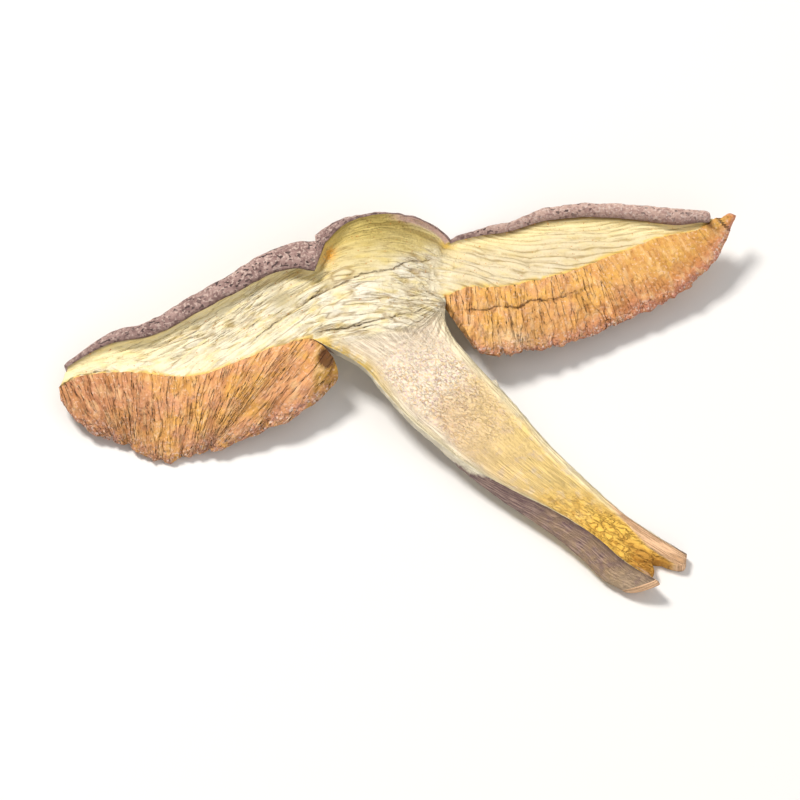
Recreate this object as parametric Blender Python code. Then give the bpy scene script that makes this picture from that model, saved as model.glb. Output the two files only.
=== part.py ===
"""One dried slice of a red bolete, cut lengthwise through cap and stem, lying face up.

The slice is one grown piece: two wings of cap flesh with a tube layer under each, a rim and a
stem side that keep their skin, and a stem that ends in two prongs. It is a thin warped sheet,
built on a T-shaped net of rows and columns. The columns run from the left tip of the cap to the
right one. Each starts at the rim and crosses the flesh. The outer ones go on through the tubes,
and the middle ones down the stem. The two cut faces are the net moved out along its normals,
and a rounded strip closes them all the way round.
"""

import math

import bpy
import numpy as np

MM = 0.001

# Driving dimensions
FLESH_THICKNESS = 1.7 * MM
TUBE_THICKNESS = 2.2 * MM
STEM_THICKNESS = 2.1 * MM
TUBE_RIDGE_HEIGHT = 0.8 * MM
TUBE_BULGE = 1.3 * MM  # how far the tube layers bulge between seam and mouths
MOUTHS_RAGGED = 0.45 * MM
INNER_END_BOW = 1.6 * MM  # how far the left tubes' inner end bows out beside the stem
WRINKLE_HEIGHT = 0.35 * MM
FIBRE_HEIGHT = 0.2 * MM
BACK_RELIEF = 0.6  # share of the relief that the underside has
FULL_LENGTH = 9 * MM  # a column of flesh or of tubes shorter than this is thinner and flatter
FOOT_DEPTH = 0.3 * MM  # what comes this near the surface under the slice is pressed flat on it
EDGE_ROUNDNESS = 0.18  # how far the edge stands out away from the rim, as a share of thickness
TIGHT_ROUNDNESS = 0.05 * MM  # the same beside the two slits and at the right tip
CURL_WIDTH = 0.35  # share of the stem's width that curls up on its left

# The lines below are given as they are seen from this far above the level
SEEN_FROM = math.radians(60)
# Where the middle of the slice's box is on them, across and back
CENTRE = (0.37 * MM, -1.6 * MM)

# The net: columns of each stretch, rows of each zone and strips round the edge
LEFT_COLUMNS = 36
MIDDLE_COLUMNS = 20
RIGHT_COLUMNS = 42
LIP_ROWS = 3
FLESH_ROWS = 8
TUBE_ROWS = 5
STEM_ROWS = 22
EDGE_STRIPS = 3

# Lines of the outline in millimetres: station along the line, across, up as seen, height
LEFT_RIM = (
    (0.00, -53.8, 7.2, 4.2),
    (0.16, -47.5, 10.7, 6.4),
    (0.34, -40.0, 12.9, 8.4),
    (0.50, -33.7, 16.3, 9.8),
    (0.68, -26.2, 20.6, 11.2),
    (0.80, -21.2, 23.4, 12.0),
    (0.92, -16.9, 24.7, 12.5),
    (1.00, -13.5, 24.7, 12.5),
)
HUMP_RIM = (
    (0.00, -13.0, 27.4, 11.4),
    (0.15, -9.8, 29.9, 10.9),
    (0.35, -5.2, 31.3, 9.8),
    (0.55, -0.5, 31.5, 7.8),
    (0.75, 4.0, 30.3, 4.6),
    (0.88, 6.6, 28.7, 2.4),
    (1.00, 8.6, 26.5, 1.1),
)
RIGHT_RIM = (
    (0.00, 9.2, 27.0, 1.0),
    (0.12, 14.0, 28.2, 1.7),
    (0.25, 19.0, 29.2, 3.6),
    (0.38, 24.0, 31.0, 5.4),
    (0.55, 31.5, 32.0, 7.2),
    (0.75, 40.5, 31.5, 8.4),
    (0.90, 46.6, 30.9, 8.8),
    (1.00, 50.0, 31.3, 8.9),
)
LEFT_SEAM = (
    (0.00, -54.9, 2.9, 3.4),
    (0.08, -52.0, 4.4, 4.4),
    (0.20, -47.5, 5.0, 5.2),
    (0.40, -38.5, 4.6, 6.0),
    (0.58, -31.0, 5.0, 6.4),
    (0.70, -26.0, 6.8, 6.9),
    (0.85, -20.0, 9.2, 7.6),
    (1.00, -13.8, 10.6, 8.2),
)
JUNCTION = (
    (0.00, -13.8, 10.6, 8.2),
    (0.20, -9.3, 11.6, 8.7),
    (0.40, -5.0, 12.2, 9.0),
    (0.60, -0.6, 13.1, 9.0),
    (0.80, 3.6, 14.6, 8.7),
    (1.00, 7.5, 17.4, 8.0),
)
RIGHT_SEAM = (
    (0.00, 7.5, 17.4, 8.0),
    (0.10, 12.0, 18.3, 7.6),
    (0.30, 20.5, 19.4, 7.0),
    (0.50, 30.0, 22.1, 6.8),
    (0.70, 38.5, 25.4, 7.1),
    (0.85, 45.5, 28.0, 7.7),
    (0.95, 49.8, 29.0, 8.4),
    (1.00, 52.4, 30.6, 8.7),
)
LEFT_MOUTHS = (
    (0.00, -54.5, 1.1, 3.1),
    (0.08, -52.2, -1.6, 2.4),
    (0.18, -49.2, -3.8, 1.8),
    (0.30, -44.8, -5.4, 1.0),
    (0.45, -38.5, -8.2, 0.5),
    (0.58, -33.5, -7.4, 0.8),
    (0.70, -28.5, -6.2, 1.7),
    (0.80, -23.6, -4.3, 2.6),
    (0.88, -18.7, -2.0, 3.6),
    (0.94, -13.9, 1.1, 4.8),
    (1.00, -10.4, 4.6, 6.0),
)
RIGHT_MOUTHS = (
    (0.00, 12.5, 9.7, 6.6),
    (0.08, 15.2, 8.7, 6.0),
    (0.20, 19.8, 9.4, 5.2),
    (0.40, 28.0, 10.9, 4.0),
    (0.55, 34.8, 13.6, 3.6),
    (0.70, 41.7, 16.6, 3.8),
    (0.80, 46.9, 19.6, 4.4),
    (0.88, 51.0, 23.2, 5.4),
    (0.95, 53.9, 27.9, 6.8),
    (1.00, 55.4, 31.7, 8.2),
)
STEM_LEFT = (
    (0.00, -13.8, 10.6, 8.2),
    (0.08, -9.3, 8.5, 8.0),
    (0.16, -5.5, 6.2, 7.6),
    (0.25, -2.1, 2.3, 7.0),
    (0.35, 1.8, -2.1, 6.0),
    (0.45, 6.7, -6.4, 4.8),
    (0.55, 11.9, -10.8, 3.7),
    (0.65, 17.8, -14.9, 3.0),
    (0.75, 24.1, -18.6, 2.5),
    (0.85, 30.2, -23.0, 1.8),
    (0.93, 35.5, -27.6, 1.1),
    (1.00, 40.4, -30.7, 0.8),
)
STEM_RIGHT = (
    (0.00, 7.5, 17.4, 8.0),
    (0.08, 7.5, 13.6, 7.6),
    (0.16, 8.9, 10.7, 7.2),
    (0.25, 11.0, 8.0, 6.8),
    (0.35, 14.2, 4.5, 6.0),
    (0.45, 17.5, 1.2, 5.0),
    (0.55, 21.5, -3.5, 4.0),
    (0.65, 26.1, -8.5, 3.0),
    (0.75, 30.8, -13.0, 2.2),
    (0.85, 36.1, -17.8, 1.7),
    (0.93, 41.2, -21.1, 1.3),
    (1.00, 46.0, -24.0, 1.1),
)

# Lip of the rim: station, thickness and length in millimetres, curl in degrees, roundness
LEFT_LIP = (
    (0.00, 1.8, 1.0, 20, 0.30),
    (0.16, 2.3, 2.8, 60, 0.22),
    (0.34, 3.0, 3.8, 75, 0.18),
    (0.50, 3.0, 4.2, 82, 0.18),
    (0.68, 3.5, 4.4, 85, 0.15),
    (0.82, 4.2, 4.6, 85, 0.12),
    (1.00, 4.8, 4.8, 82, 0.10),
)
HUMP_LIP = (
    (0.00, 2.8, 3.6, 72, 0.15),
    (0.18, 2.3, 3.4, 45, 0.25),
    (0.36, 1.8, 3.2, 15, 0.35),
    (0.60, 1.8, 3.2, 10, 0.35),
    (0.85, 1.9, 3.0, 20, 0.40),
    (1.00, 2.3, 2.8, 38, 0.45),
)
RIGHT_LIP = (
    (0.00, 2.4, 2.8, 40, 0.50),
    (0.30, 2.5, 3.2, 50, 0.50),
    (0.70, 2.6, 3.2, 48, 0.50),
    (0.92, 2.3, 1.6, 25, 0.50),
    (1.00, 1.6, 0.5, 4, 0.30),
)

# Arch of the flesh between rim and seam: station, height in millimetres
LEFT_ARCH = ((0.0, 0.2), (0.3, -0.6), (0.7, -0.9), (1.0, 0.2))
HUMP_ARCH = ((0.0, 0.2), (0.4, 1.1), (0.7, 0.8), (1.0, 0.0))
RIGHT_ARCH = ((0.0, 0.0), (0.3, -0.3), (0.7, -0.5), (1.0, 0.0))

# Down the stem: station, and in millimetres the crown of its face, then the curl and the
# thickness of its left side
STEM_CROWN = ((0.0, 0.2), (0.2, 0.7), (0.5, 0.6), (0.8, 0.1), (1.0, -0.4))
STEM_CURL = ((0.0, 0.0), (0.4, 0.2), (0.7, 1.2), (1.0, 1.8))
STEM_SIDE = ((0.0, 1.9), (0.45, 2.1), (0.65, 3.2), (0.85, 4.4), (1.0, 4.8))
# How far down the stem reaches, from its left side across to its right side
STEM_END = ((0.0, 1.0), (0.35, 1.0), (0.44, 0.95), (0.68, 0.94), (0.78, 1.0), (1.0, 1.0))

# Materials: colour as red, green and blue, and roughness
FLESH, TUBES, SKIN = range(3)
MATERIALS = (
    ("dried flesh", (0.66, 0.53, 0.27), 0.85),
    ("dried tubes", (0.42, 0.22, 0.09), 0.9),
    ("dried skin", (0.24, 0.16, 0.14), 0.8),
)

LAST_LEFT = LEFT_COLUMNS
FIRST_RIGHT = LEFT_COLUMNS + MIDDLE_COLUMNS
TORN_ROWS = LIP_ROWS + 4  # how far the tear beside the hump runs down the net


def curve(points, station):
    """Values at the stations on a smooth curve through points that start with their station."""
    table = np.array(points, float)
    known, values = table[:, 0], table[:, 1:]
    slopes = np.gradient(values, known, axis=0)
    first = np.clip(np.searchsorted(known, station, "right") - 1, 0, len(known) - 2)
    step = (known[first + 1] - known[first])[:, None]
    t = (station - known[first])[:, None] / step
    return (
        (2 * t**3 - 3 * t**2 + 1) * values[first]
        + (t**3 - 2 * t**2 + t) * step * slopes[first]
        + (3 * t**2 - 2 * t**3) * values[first + 1]
        + (t**3 - t**2) * step * slopes[first + 1]
    )


def line(points, station):
    """Points in the part's frame on a line of the outline, which is given as it is seen."""
    across, up, height = curve(points, station).T * MM
    back = (up - height * math.cos(SEEN_FROM)) / math.sin(SEEN_FROM)
    return np.stack([across - CENTRE[0], back - CENTRE[1], height], axis=1)


def unit(vectors):
    return vectors / np.linalg.norm(vectors, axis=-1, keepdims=True)


def hump(share):
    """0 at both ends of the share from 0 to 1, and 1 in its middle."""
    return 4 * share * (1 - share)


def fullness(columns):
    """How full each column is, from 0.1 to 1, by the length of the vector down it."""
    return np.clip(np.linalg.norm(columns, axis=1) / FULL_LENGTH, 0.1, 1)


def thinned(columns):
    """Share of the full thickness that each column has."""
    return 0.5 + 0.5 * fullness(columns)


def along_rim(left, middle, right):
    """Values of a curve for each stretch of the rim, joined in the columns' order."""
    return np.concatenate(
        [
            left(np.linspace(0, 1, LEFT_COLUMNS + 1)),
            middle(np.linspace(0, 1, MIDDLE_COLUMNS + 1)[1:-1]),
            right(np.linspace(0, 1, RIGHT_COLUMNS + 1)),
        ]
    )


def flesh_rows():
    """Rows of the cap's flesh from the rim to the seam, half-thicknesses, and rim roundness.

    The first rows are the lip. It lies on an arc that starts at the base and curls up.
    """
    rims = (LEFT_RIM, HUMP_RIM, RIGHT_RIM)
    rim = along_rim(*(lambda s, rim=rim: line(rim, s) for rim in rims))
    along = along_rim(*(lambda s, rim=rim: unit(np.gradient(line(rim, s), axis=0)) for rim in rims))
    seams = (LEFT_SEAM, JUNCTION, RIGHT_SEAM)
    seam = along_rim(*(lambda s, seam=seam: line(seam, s) for seam in seams))
    lips = (LEFT_LIP, HUMP_LIP, RIGHT_LIP)
    lip = along_rim(*(lambda s, lip=lip: curve(lip, s) for lip in lips))
    arches = (LEFT_ARCH, HUMP_ARCH, RIGHT_ARCH)
    arch = along_rim(*(lambda s, arch=arch: curve(arch, s) for arch in arches)) * MM

    down = seam - rim
    sheet = FLESH_THICKNESS * thinned(down)
    thick = lip[:, 0] * MM
    length = np.minimum(lip[:, 1] * MM, 0.4 * np.linalg.norm(down, axis=1))[:, None]
    curl = np.radians(lip[:, 2])[:, None]
    skew = np.sum(down * along, axis=1, keepdims=True) * along
    inward = unit(down - skew * fullness(down)[:, None])
    face = unit(np.cross(inward, along))
    bend = length / curl
    base = rim + inward * bend * np.sin(curl) - face * bend * (1 - np.cos(curl))

    rows, halves = [], []
    for row in range(LIP_ROWS):
        left_to_go = 1 - row / LIP_ROWS
        turn = curl * left_to_go
        rows.append(base - inward * bend * np.sin(turn) + face * bend * (1 - np.cos(turn)))
        halves.append((sheet + (thick - sheet) * left_to_go**1.5) / 2)
    for row in range(FLESH_ROWS + 1):
        share = row / FLESH_ROWS
        level = base * (1 - share) + seam * share
        level[:, 2:] += arch * hump(share)
        rows.append(level)
        halves.append(sheet / 2)
    return rows, halves, lip[:, 3]


def tube_rows(seam, mouths_line, bow):
    """Rows of a tube layer below its seam, bulging out of the face, and half-thicknesses."""
    station = np.linspace(0, 1, len(seam))
    mouths = line(mouths_line, station)
    ragged = np.sin(station * 61) + 0.8 * np.sin(station * 97 + 1)
    mouths[1:-1, 1] += MOUTHS_RAGGED * ragged[1:-1]
    full = fullness(mouths - seam)
    inner_end = np.clip((station - 0.85) / 0.15, 0, 1) ** 2
    rows, halves = [], []
    for row in range(1, TUBE_ROWS + 1):
        share = row / TUBE_ROWS
        level = seam * (1 - share) + mouths * share
        level[:, 0] += bow * inner_end * hump(share)
        level[:, 1] -= TUBE_BULGE / 2 * full * hump(share)
        level[:, 2] += TUBE_BULGE * full * hump(share)
        rows.append(level)
        halves.append(TUBE_THICKNESS / 2 * thinned(mouths - seam))
    return rows, halves


def stem_rows(junction):
    """Rows of the stem below the junction, with its curled left side and its two prongs."""
    share = np.linspace(0, 1, len(junction))
    across = share[:, None]
    reach = curve(STEM_END, share)[:, 0]
    arched = junction - junction[0] * (1 - across) - junction[-1] * across
    turned = np.clip(1 - share / CURL_WIDTH, 0, 1)
    rows, halves = [], []
    for row in range(1, STEM_ROWS + 1):
        down = row / STEM_ROWS * reach
        level = line(STEM_LEFT, down) * (1 - across) + line(STEM_RIGHT, down) * across
        level += arched * np.clip(1 - 5 * down, 0, 1)[:, None] ** 2
        level[:, 2] += curve(STEM_CROWN, down)[:, 0] * MM * hump(share)
        level[:, 2] += curve(STEM_CURL, down)[:, 0] * MM * turned**2
        side = curve(STEM_SIDE, down)[:, 0] * MM
        rows.append(level)
        halves.append((STEM_THICKNESS + (side - STEM_THICKNESS) * turned**1.5) / 2)
    return rows, halves


class Net:
    """The middle surface: its points with half-thicknesses, and the blocks of point numbers."""

    def __init__(self):
        rows, halves, self.rim_roundness = flesh_rows()
        self.points = np.empty((0, 3))
        self.halves = np.empty(0)
        self.top = self.added(rows, halves)
        above_left = self.top[-1, : LAST_LEFT + 1]
        above_stem = self.top[-1, LAST_LEFT : FIRST_RIGHT + 1]
        above_right = self.top[-1, FIRST_RIGHT:]
        seam = rows[-1]
        left = self.added(*tube_rows(seam[: LAST_LEFT + 1], LEFT_MOUTHS, INNER_END_BOW))
        right = self.added(*tube_rows(seam[FIRST_RIGHT:], RIGHT_MOUTHS, 0))
        stem = self.added(*stem_rows(seam[LAST_LEFT : FIRST_RIGHT + 1]))
        self.left = np.vstack([above_left, left])
        self.right = np.vstack([above_right, right])
        self.stem = np.vstack([above_stem, stem])

    def added(self, rows, halves):
        first = len(self.points)
        self.points = np.vstack([self.points, *rows])
        self.halves = np.concatenate([self.halves, *halves])
        return np.arange(first, len(self.points)).reshape(len(rows), -1)

    def cells(self):
        """Corners of every cell, turning the same way, and the zone of each."""
        corners, zones = [], []
        blocks = ((self.top, FLESH), (self.left, TUBES), (self.right, TUBES), (self.stem, FLESH))
        for block, zone in blocks:
            turn = (block[:-1, :-1], block[1:, :-1], block[1:, 1:], block[:-1, 1:])
            cells = np.stack(turn, axis=-1).reshape(-1, 4)
            corners.append(cells)
            zones.append(np.full(len(cells), zone))
        return np.vstack(corners), np.concatenate(zones)

    def edge(self):
        """Point numbers once round the outline from the left end of the rim, and their zones."""
        parts = (
            (self.top[0], SKIN),
            (self.top[1:, -1], FLESH),
            (self.right[1:, -1], TUBES),
            (self.right[-1, -2::-1], TUBES),
            (self.right[-2::-1, 0], TUBES),
            (self.stem[1:, -1], SKIN),
            (self.stem[-1, -2::-1], FLESH),
            (self.stem[-2::-1, 0], SKIN),
            (self.left[1:, -1], TUBES),
            (self.left[-1, -2::-1], TUBES),
            (self.left[-2:0:-1, 0], TUBES),
            (self.top[-1:0:-1, 0], FLESH),
        )
        zones = [np.full(len(part), zone) for part, zone in parts]
        return np.concatenate([part for part, _ in parts]), np.concatenate(zones)

    def normals(self, cells):
        """Unit normals of the points, from the cells round each but those across the tear."""
        torn = np.isin(cells[:, 0], self.top[:TORN_ROWS, LAST_LEFT])
        cells = cells[~torn]
        facing = np.cross(
            self.points[cells[:, 2]] - self.points[cells[:, 0]],
            self.points[cells[:, 3]] - self.points[cells[:, 1]],
        )
        total = np.zeros_like(self.points)
        for corner in range(4):
            np.add.at(total, cells[:, corner], facing)
        return unit(total)


def relief(net):
    """How far each point of a cut face stands out: tube ridges, wrinkles and stem fibres."""
    out = np.zeros(len(net.points))
    for tubes in (net.left[1:], net.right[1:]):
        inner = tubes[:, 2:-2]
        ridge = np.where(np.arange(inner.shape[1]) % 2, 0.5, -0.5)
        full = fullness(net.points[inner[0]] - net.points[inner[-1]])
        out[inner] += TUBE_RIDGE_HEIGHT * ridge * full

    flesh = net.top[LIP_ROWS + 1 : -1, 2:-2]
    row, column = np.indices(flesh.shape)
    drift = np.sin(column * 0.21) + 1.7 * np.sin(column * 0.073 + 2)
    full = fullness(net.points[flesh[0]] - net.points[flesh[-1]])
    out[flesh] += WRINKLE_HEIGHT * full * np.sin(row * 2.3 + drift)

    stem = net.stem[2:-1, 1:-1]
    out[stem] += FIBRE_HEIGHT * np.sin(np.arange(stem.shape[1]) * 2.1 + 0.5)
    return out


def edge_depth(net, edge):
    """How far the closing strip stands out beyond each point of the edge."""
    roundness = np.full(len(net.points), EDGE_ROUNDNESS)
    roundness[net.top[0]] = net.rim_roundness
    depth = roundness * 2 * net.halves
    for tight in (
        net.left[:, -1],
        net.right[:, 0],
        net.stem[:5, 0],
        net.stem[:5, -1],
        net.top[2:, -1],
        net.right[:3, -1],
    ):
        depth[tight] = TIGHT_ROUNDNESS
    return depth[edge]


def edge_strips(net, edge, normals, front, back):
    """Rings of points between the two faces along the edge, rounded outwards."""
    line_points = net.points[edge]
    ahead = np.roll(line_points, -1, axis=0) - np.roll(line_points, 1, axis=0)
    ahead[LAST_LEFT] = line_points[LAST_LEFT] - line_points[LAST_LEFT - 1]
    ahead[LAST_LEFT + 1] = line_points[LAST_LEFT + 2] - line_points[LAST_LEFT + 1]
    outward = unit(np.cross(normals[edge], ahead)) * edge_depth(net, edge)[:, None]
    middle = (front[edge] + back[edge]) / 2
    half = (front[edge] - back[edge]) / 2
    angles = [math.pi * strip / EDGE_STRIPS for strip in range(1, EDGE_STRIPS)]
    return [middle + half * math.cos(angle) + outward * math.sin(angle) for angle in angles]


def slice_mesh():
    """Vertices, triangles and the material number of each triangle of the whole slice."""
    net = Net()
    cells, cell_zones = net.cells()
    edge, edge_zones = net.edge()
    normals = net.normals(cells)
    raised = relief(net)
    front = net.points + normals * (net.halves + raised)[:, None]
    back = net.points - normals * (net.halves + BACK_RELIEF * raised)[:, None]
    strips = edge_strips(net, edge, normals, front, back)
    vertices = np.vstack([front, back, *strips])
    vertices[vertices[:, 2] < FOOT_DEPTH, 2] = 0

    count = len(net.points)
    a, b, c, d = cells.T
    triangles = [np.stack([a, b, c], 1), np.stack([a, c, d], 1)]
    triangles += [np.stack([a, c, b], 1) + count, np.stack([a, d, c], 1) + count]
    zones = [cell_zones] * 4
    first = 2 * count
    rings = [edge]
    for strip in strips:
        rings.append(np.arange(first, first + len(strip)))
        first += len(strip)
    rings.append(edge + count)
    for upper, lower in zip(rings, rings[1:]):
        upper_next, lower_next = np.roll(upper, -1), np.roll(lower, -1)
        triangles.append(np.stack([upper, lower_next, lower], 1))
        triangles.append(np.stack([upper, upper_next, lower_next], 1))
        zones += [edge_zones, edge_zones]
    return vertices, np.vstack(triangles), np.concatenate(zones)


def add_material(mesh, name, colour, roughness):
    material = bpy.data.materials.new(name)
    material.use_nodes = True
    shader = material.node_tree.nodes["Principled BSDF"]
    shader.inputs["Base Color"].default_value = (*colour, 1)
    shader.inputs["Roughness"].default_value = roughness
    shader.inputs["Metallic"].default_value = 0
    mesh.materials.append(material)


def add_slice():
    vertices, triangles, zones = slice_mesh()
    mesh = bpy.data.meshes.new("bolete_slice")
    mesh.from_pydata(vertices.tolist(), [], triangles.tolist())
    for material in MATERIALS:
        add_material(mesh, *material)
    mesh.polygons.foreach_set("material_index", zones.astype(np.int32))
    mesh.shade_smooth()
    mesh.set_sharp_from_angle(angle=math.radians(50))
    mesh.update()
    slice_object = bpy.data.objects.new("bolete_slice", mesh)
    bpy.context.scene.collection.objects.link(slice_object)


def main():
    for obj in list(bpy.data.objects):
        bpy.data.objects.remove(obj)
    add_slice()


main()
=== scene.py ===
"""One dried slice of a red bolete, lying face up on a pale floor in soft studio light.

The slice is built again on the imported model's own lines, with a far finer net, so that its
wrinkles, tube ridges, fibres and ragged edges are real surface. Masks that follow the rim, the
seam and the stem are kept on its points, and the materials take their colours from them.
"""

import math

import bpy
import numpy as np
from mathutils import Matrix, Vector


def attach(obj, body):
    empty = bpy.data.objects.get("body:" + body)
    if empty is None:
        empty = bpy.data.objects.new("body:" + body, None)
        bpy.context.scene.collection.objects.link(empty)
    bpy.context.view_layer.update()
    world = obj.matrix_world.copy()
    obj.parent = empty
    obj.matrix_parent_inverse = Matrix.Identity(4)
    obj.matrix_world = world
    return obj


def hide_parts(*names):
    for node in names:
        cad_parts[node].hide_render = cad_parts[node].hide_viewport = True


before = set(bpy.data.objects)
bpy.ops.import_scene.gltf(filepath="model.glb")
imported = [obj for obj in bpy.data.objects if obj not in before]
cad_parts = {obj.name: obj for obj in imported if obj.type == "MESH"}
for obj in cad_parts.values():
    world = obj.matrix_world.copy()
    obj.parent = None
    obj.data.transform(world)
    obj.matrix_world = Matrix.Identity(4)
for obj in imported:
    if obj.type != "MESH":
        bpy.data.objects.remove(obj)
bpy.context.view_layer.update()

MM = 0.001

# Driving dimensions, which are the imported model's
FLESH_THICKNESS = 1.7 * MM
TUBE_THICKNESS = 2.2 * MM
STEM_THICKNESS = 2.1 * MM
TUBE_BULGE = 1.3 * MM  # how far the tube layers bulge between seam and mouths
INNER_END_BOW = 1.6 * MM  # how far the left tubes' inner end bows out beside the stem
FULL_LENGTH = 9 * MM  # a column of flesh or of tubes shorter than this is thinner and flatter
FOOT_DEPTH = 0.3 * MM  # what comes this near the surface under the slice is pressed flat on it
FOOT_BLEND = 0.9 * MM  # above this height the pressing has no effect
EDGE_ROUNDNESS = 0.18  # how far the edge stands out away from the rim, as a share of thickness
TIGHT_ROUNDNESS = 0.05 * MM  # the same beside the two slits and at the right tip
CURL_WIDTH = 0.35  # share of the stem's width that curls up on its left

# Relief, at about its real size
BROAD_HEIGHT = 0.35 * MM  # swells of the dried flesh, some 7 mm long
FOLD_HEIGHT = 0.75 * MM  # the larger wrinkles of the dried flesh
FOLDS = (3.6, 8.0, 800)  # millimetres across and along one of them, and how many
FINE_FOLD_HEIGHT = 0.32 * MM
FINE_FOLDS = (1.8, 5.0, 3200)
CRUMPLE_HEIGHT = 0.5 * MM  # the bumps at the end of the stem
CRUMPLES = (3.4, 2.6, 500)
CRUMPLE_TURNED = 1.5  # how far they turn out of the wrinkles' way, in radians
CREASE_WOBBLE = 0.35  # millimetres by which a single crease wanders off its line
FIBRE_HEIGHT = 0.10 * MM
RIDGE_HEIGHT = 0.32 * MM  # bundles of tubes
MOUTHS_RAGGED = 0.16 * MM
FRINGE = 0.22 * MM  # the fine teeth of the tubes' mouths
SKIN_GRAIN = 0.10 * MM
RIM_WANDER = 0.22 * MM  # how uneven the rim is
END_SLANT = 4.2 * MM  # how much further the stem's left prong reaches on top than below
PRONG_RAISED = 0.4 * MM  # how far the right prong stands above the rest of the end
SLIVER = 0.9 * MM  # how far a sliver of the stem's right edge stands out
SLIVER_FROM, SLIVER_LENGTH = 0.38, 0.04  # where down the stem, as shares of it
SLIT_LENGTH = 0.2  # share of the stem beside which the tubes lie close
FRONT_SEED, BACK_SEED = 100, 200  # for the random relief of the two faces

# Floor, light and camera
FLOOR_SIZE = 3.0
CAMERA_DISTANCE = 0.75
FRAME_WIDTH = 0.130  # how much of the scene the picture spans at the slice
SENSOR_WIDTH = 36.0
AIM = (0.0, 0.0, 0.005)
LIGHTS = (
    # name, size, power in watts, colour, direction in degrees round and up, distance
    ("key softbox", 0.25, 9.0, "#FFFAF3", -50, 60, 1.0),
    ("overhead softbox", 0.9, 1.5, "#FFFFFF", 60, 75, 1.1),
    ("side fill", 0.9, 2.6, "#FFFAF4", 115, 45, 1.2),
    ("front fill", 0.9, 3.4, "#FFFCF8", 175, 35, 1.2),
)

# The wave texture's bands are this far apart at scale 1, and its noise is stretched along them
WAVE_BAND = math.pi / 10
STRAND_SHORTER = 0.22

# The lines below are given as they are seen from this far above the level
SEEN_FROM = math.radians(60)
# Where the middle of the slice's box is on them, across and back
CENTRE = (0.37 * MM, -1.6 * MM)

# The net: columns of each stretch, rows of each zone and strips round the edge
LEFT_COLUMNS = 152
MIDDLE_COLUMNS = 82
RIGHT_COLUMNS = 172
LIP_ROWS = 8
FLESH_ROWS = 42
TUBE_ROWS = 28
STEM_ROWS = 150
EDGE_STRIPS = 8
NORMAL_ROUNDS = 10  # how often the normals are averaged with their neighbours'
EDGE_ROUNDS = 6

# Lines of the outline in millimetres: station along the line, across, up as seen, height
LEFT_RIM = (
    (0.00, -54.0, 6.5, 4.2),
    (0.16, -47.5, 10.7, 6.4),
    (0.34, -40.0, 12.9, 8.4),
    (0.50, -33.7, 16.3, 9.8),
    (0.68, -26.2, 20.6, 11.2),
    (0.80, -21.2, 23.4, 12.0),
    (0.92, -16.9, 24.7, 12.5),
    (1.00, -13.5, 24.7, 12.5),
)
HUMP_RIM = (
    (0.00, -13.0, 27.4, 11.4),
    (0.15, -9.8, 29.9, 10.9),
    (0.35, -5.2, 31.3, 9.8),
    (0.55, -0.5, 31.5, 7.8),
    (0.75, 4.0, 30.3, 4.6),
    (0.88, 6.6, 28.7, 2.4),
    (1.00, 8.6, 26.5, 1.1),
)
RIGHT_RIM = (
    (0.00, 9.2, 27.0, 1.0),
    (0.12, 14.0, 28.2, 1.7),
    (0.25, 19.0, 29.2, 3.6),
    (0.38, 24.0, 31.0, 5.4),
    (0.55, 31.5, 32.0, 7.2),
    (0.75, 40.5, 31.5, 8.4),
    (0.90, 47.2, 30.8, 8.9),
    (1.00, 51.2, 31.1, 9.0),
)
LEFT_SEAM = (
    (0.00, -54.9, 2.9, 3.4),
    (0.08, -52.0, 4.4, 4.4),
    (0.20, -47.5, 5.0, 5.2),
    (0.40, -38.5, 4.6, 6.0),
    (0.58, -31.0, 5.0, 6.4),
    (0.70, -26.0, 6.8, 6.9),
    (0.85, -20.0, 9.2, 7.6),
    (1.00, -13.8, 10.6, 8.2),
)
JUNCTION = (
    (0.00, -13.8, 10.6, 8.2),
    (0.20, -9.3, 11.6, 8.7),
    (0.40, -5.0, 12.2, 9.0),
    (0.60, -0.6, 13.1, 9.0),
    (0.80, 3.6, 14.6, 8.7),
    (1.00, 7.5, 17.4, 8.0),
)
RIGHT_SEAM = (
    (0.00, 7.5, 17.4, 8.0),
    (0.10, 12.0, 18.3, 7.6),
    (0.30, 20.5, 19.4, 7.0),
    (0.50, 30.0, 22.1, 6.8),
    (0.70, 38.5, 25.4, 7.1),
    (0.85, 45.5, 28.0, 7.7),
    (0.95, 49.8, 29.0, 8.4),
    (1.00, 52.4, 30.6, 8.7),
)
LEFT_MOUTHS = (
    (0.00, -54.5, 1.1, 3.1),
    (0.08, -52.2, -1.6, 2.4),
    (0.18, -49.2, -3.8, 1.8),
    (0.30, -44.8, -5.4, 1.0),
    (0.45, -38.5, -8.2, 0.5),
    (0.58, -33.5, -7.4, 0.8),
    (0.70, -28.5, -6.2, 1.7),
    (0.80, -23.6, -4.3, 2.6),
    (0.88, -18.7, -2.0, 3.6),
    (0.94, -13.9, 1.1, 4.8),
    (1.00, -10.4, 4.6, 6.0),
)
RIGHT_MOUTHS = (
    (0.00, 12.5, 9.7, 6.6),
    (0.08, 15.2, 8.7, 6.0),
    (0.20, 19.8, 9.4, 5.2),
    (0.40, 28.0, 10.9, 4.0),
    (0.55, 34.8, 13.6, 3.6),
    (0.70, 41.7, 16.6, 3.8),
    (0.80, 46.9, 19.6, 4.4),
    (0.88, 51.0, 23.2, 5.4),
    (0.95, 53.9, 27.9, 6.8),
    (1.00, 55.4, 31.7, 8.2),
)
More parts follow.
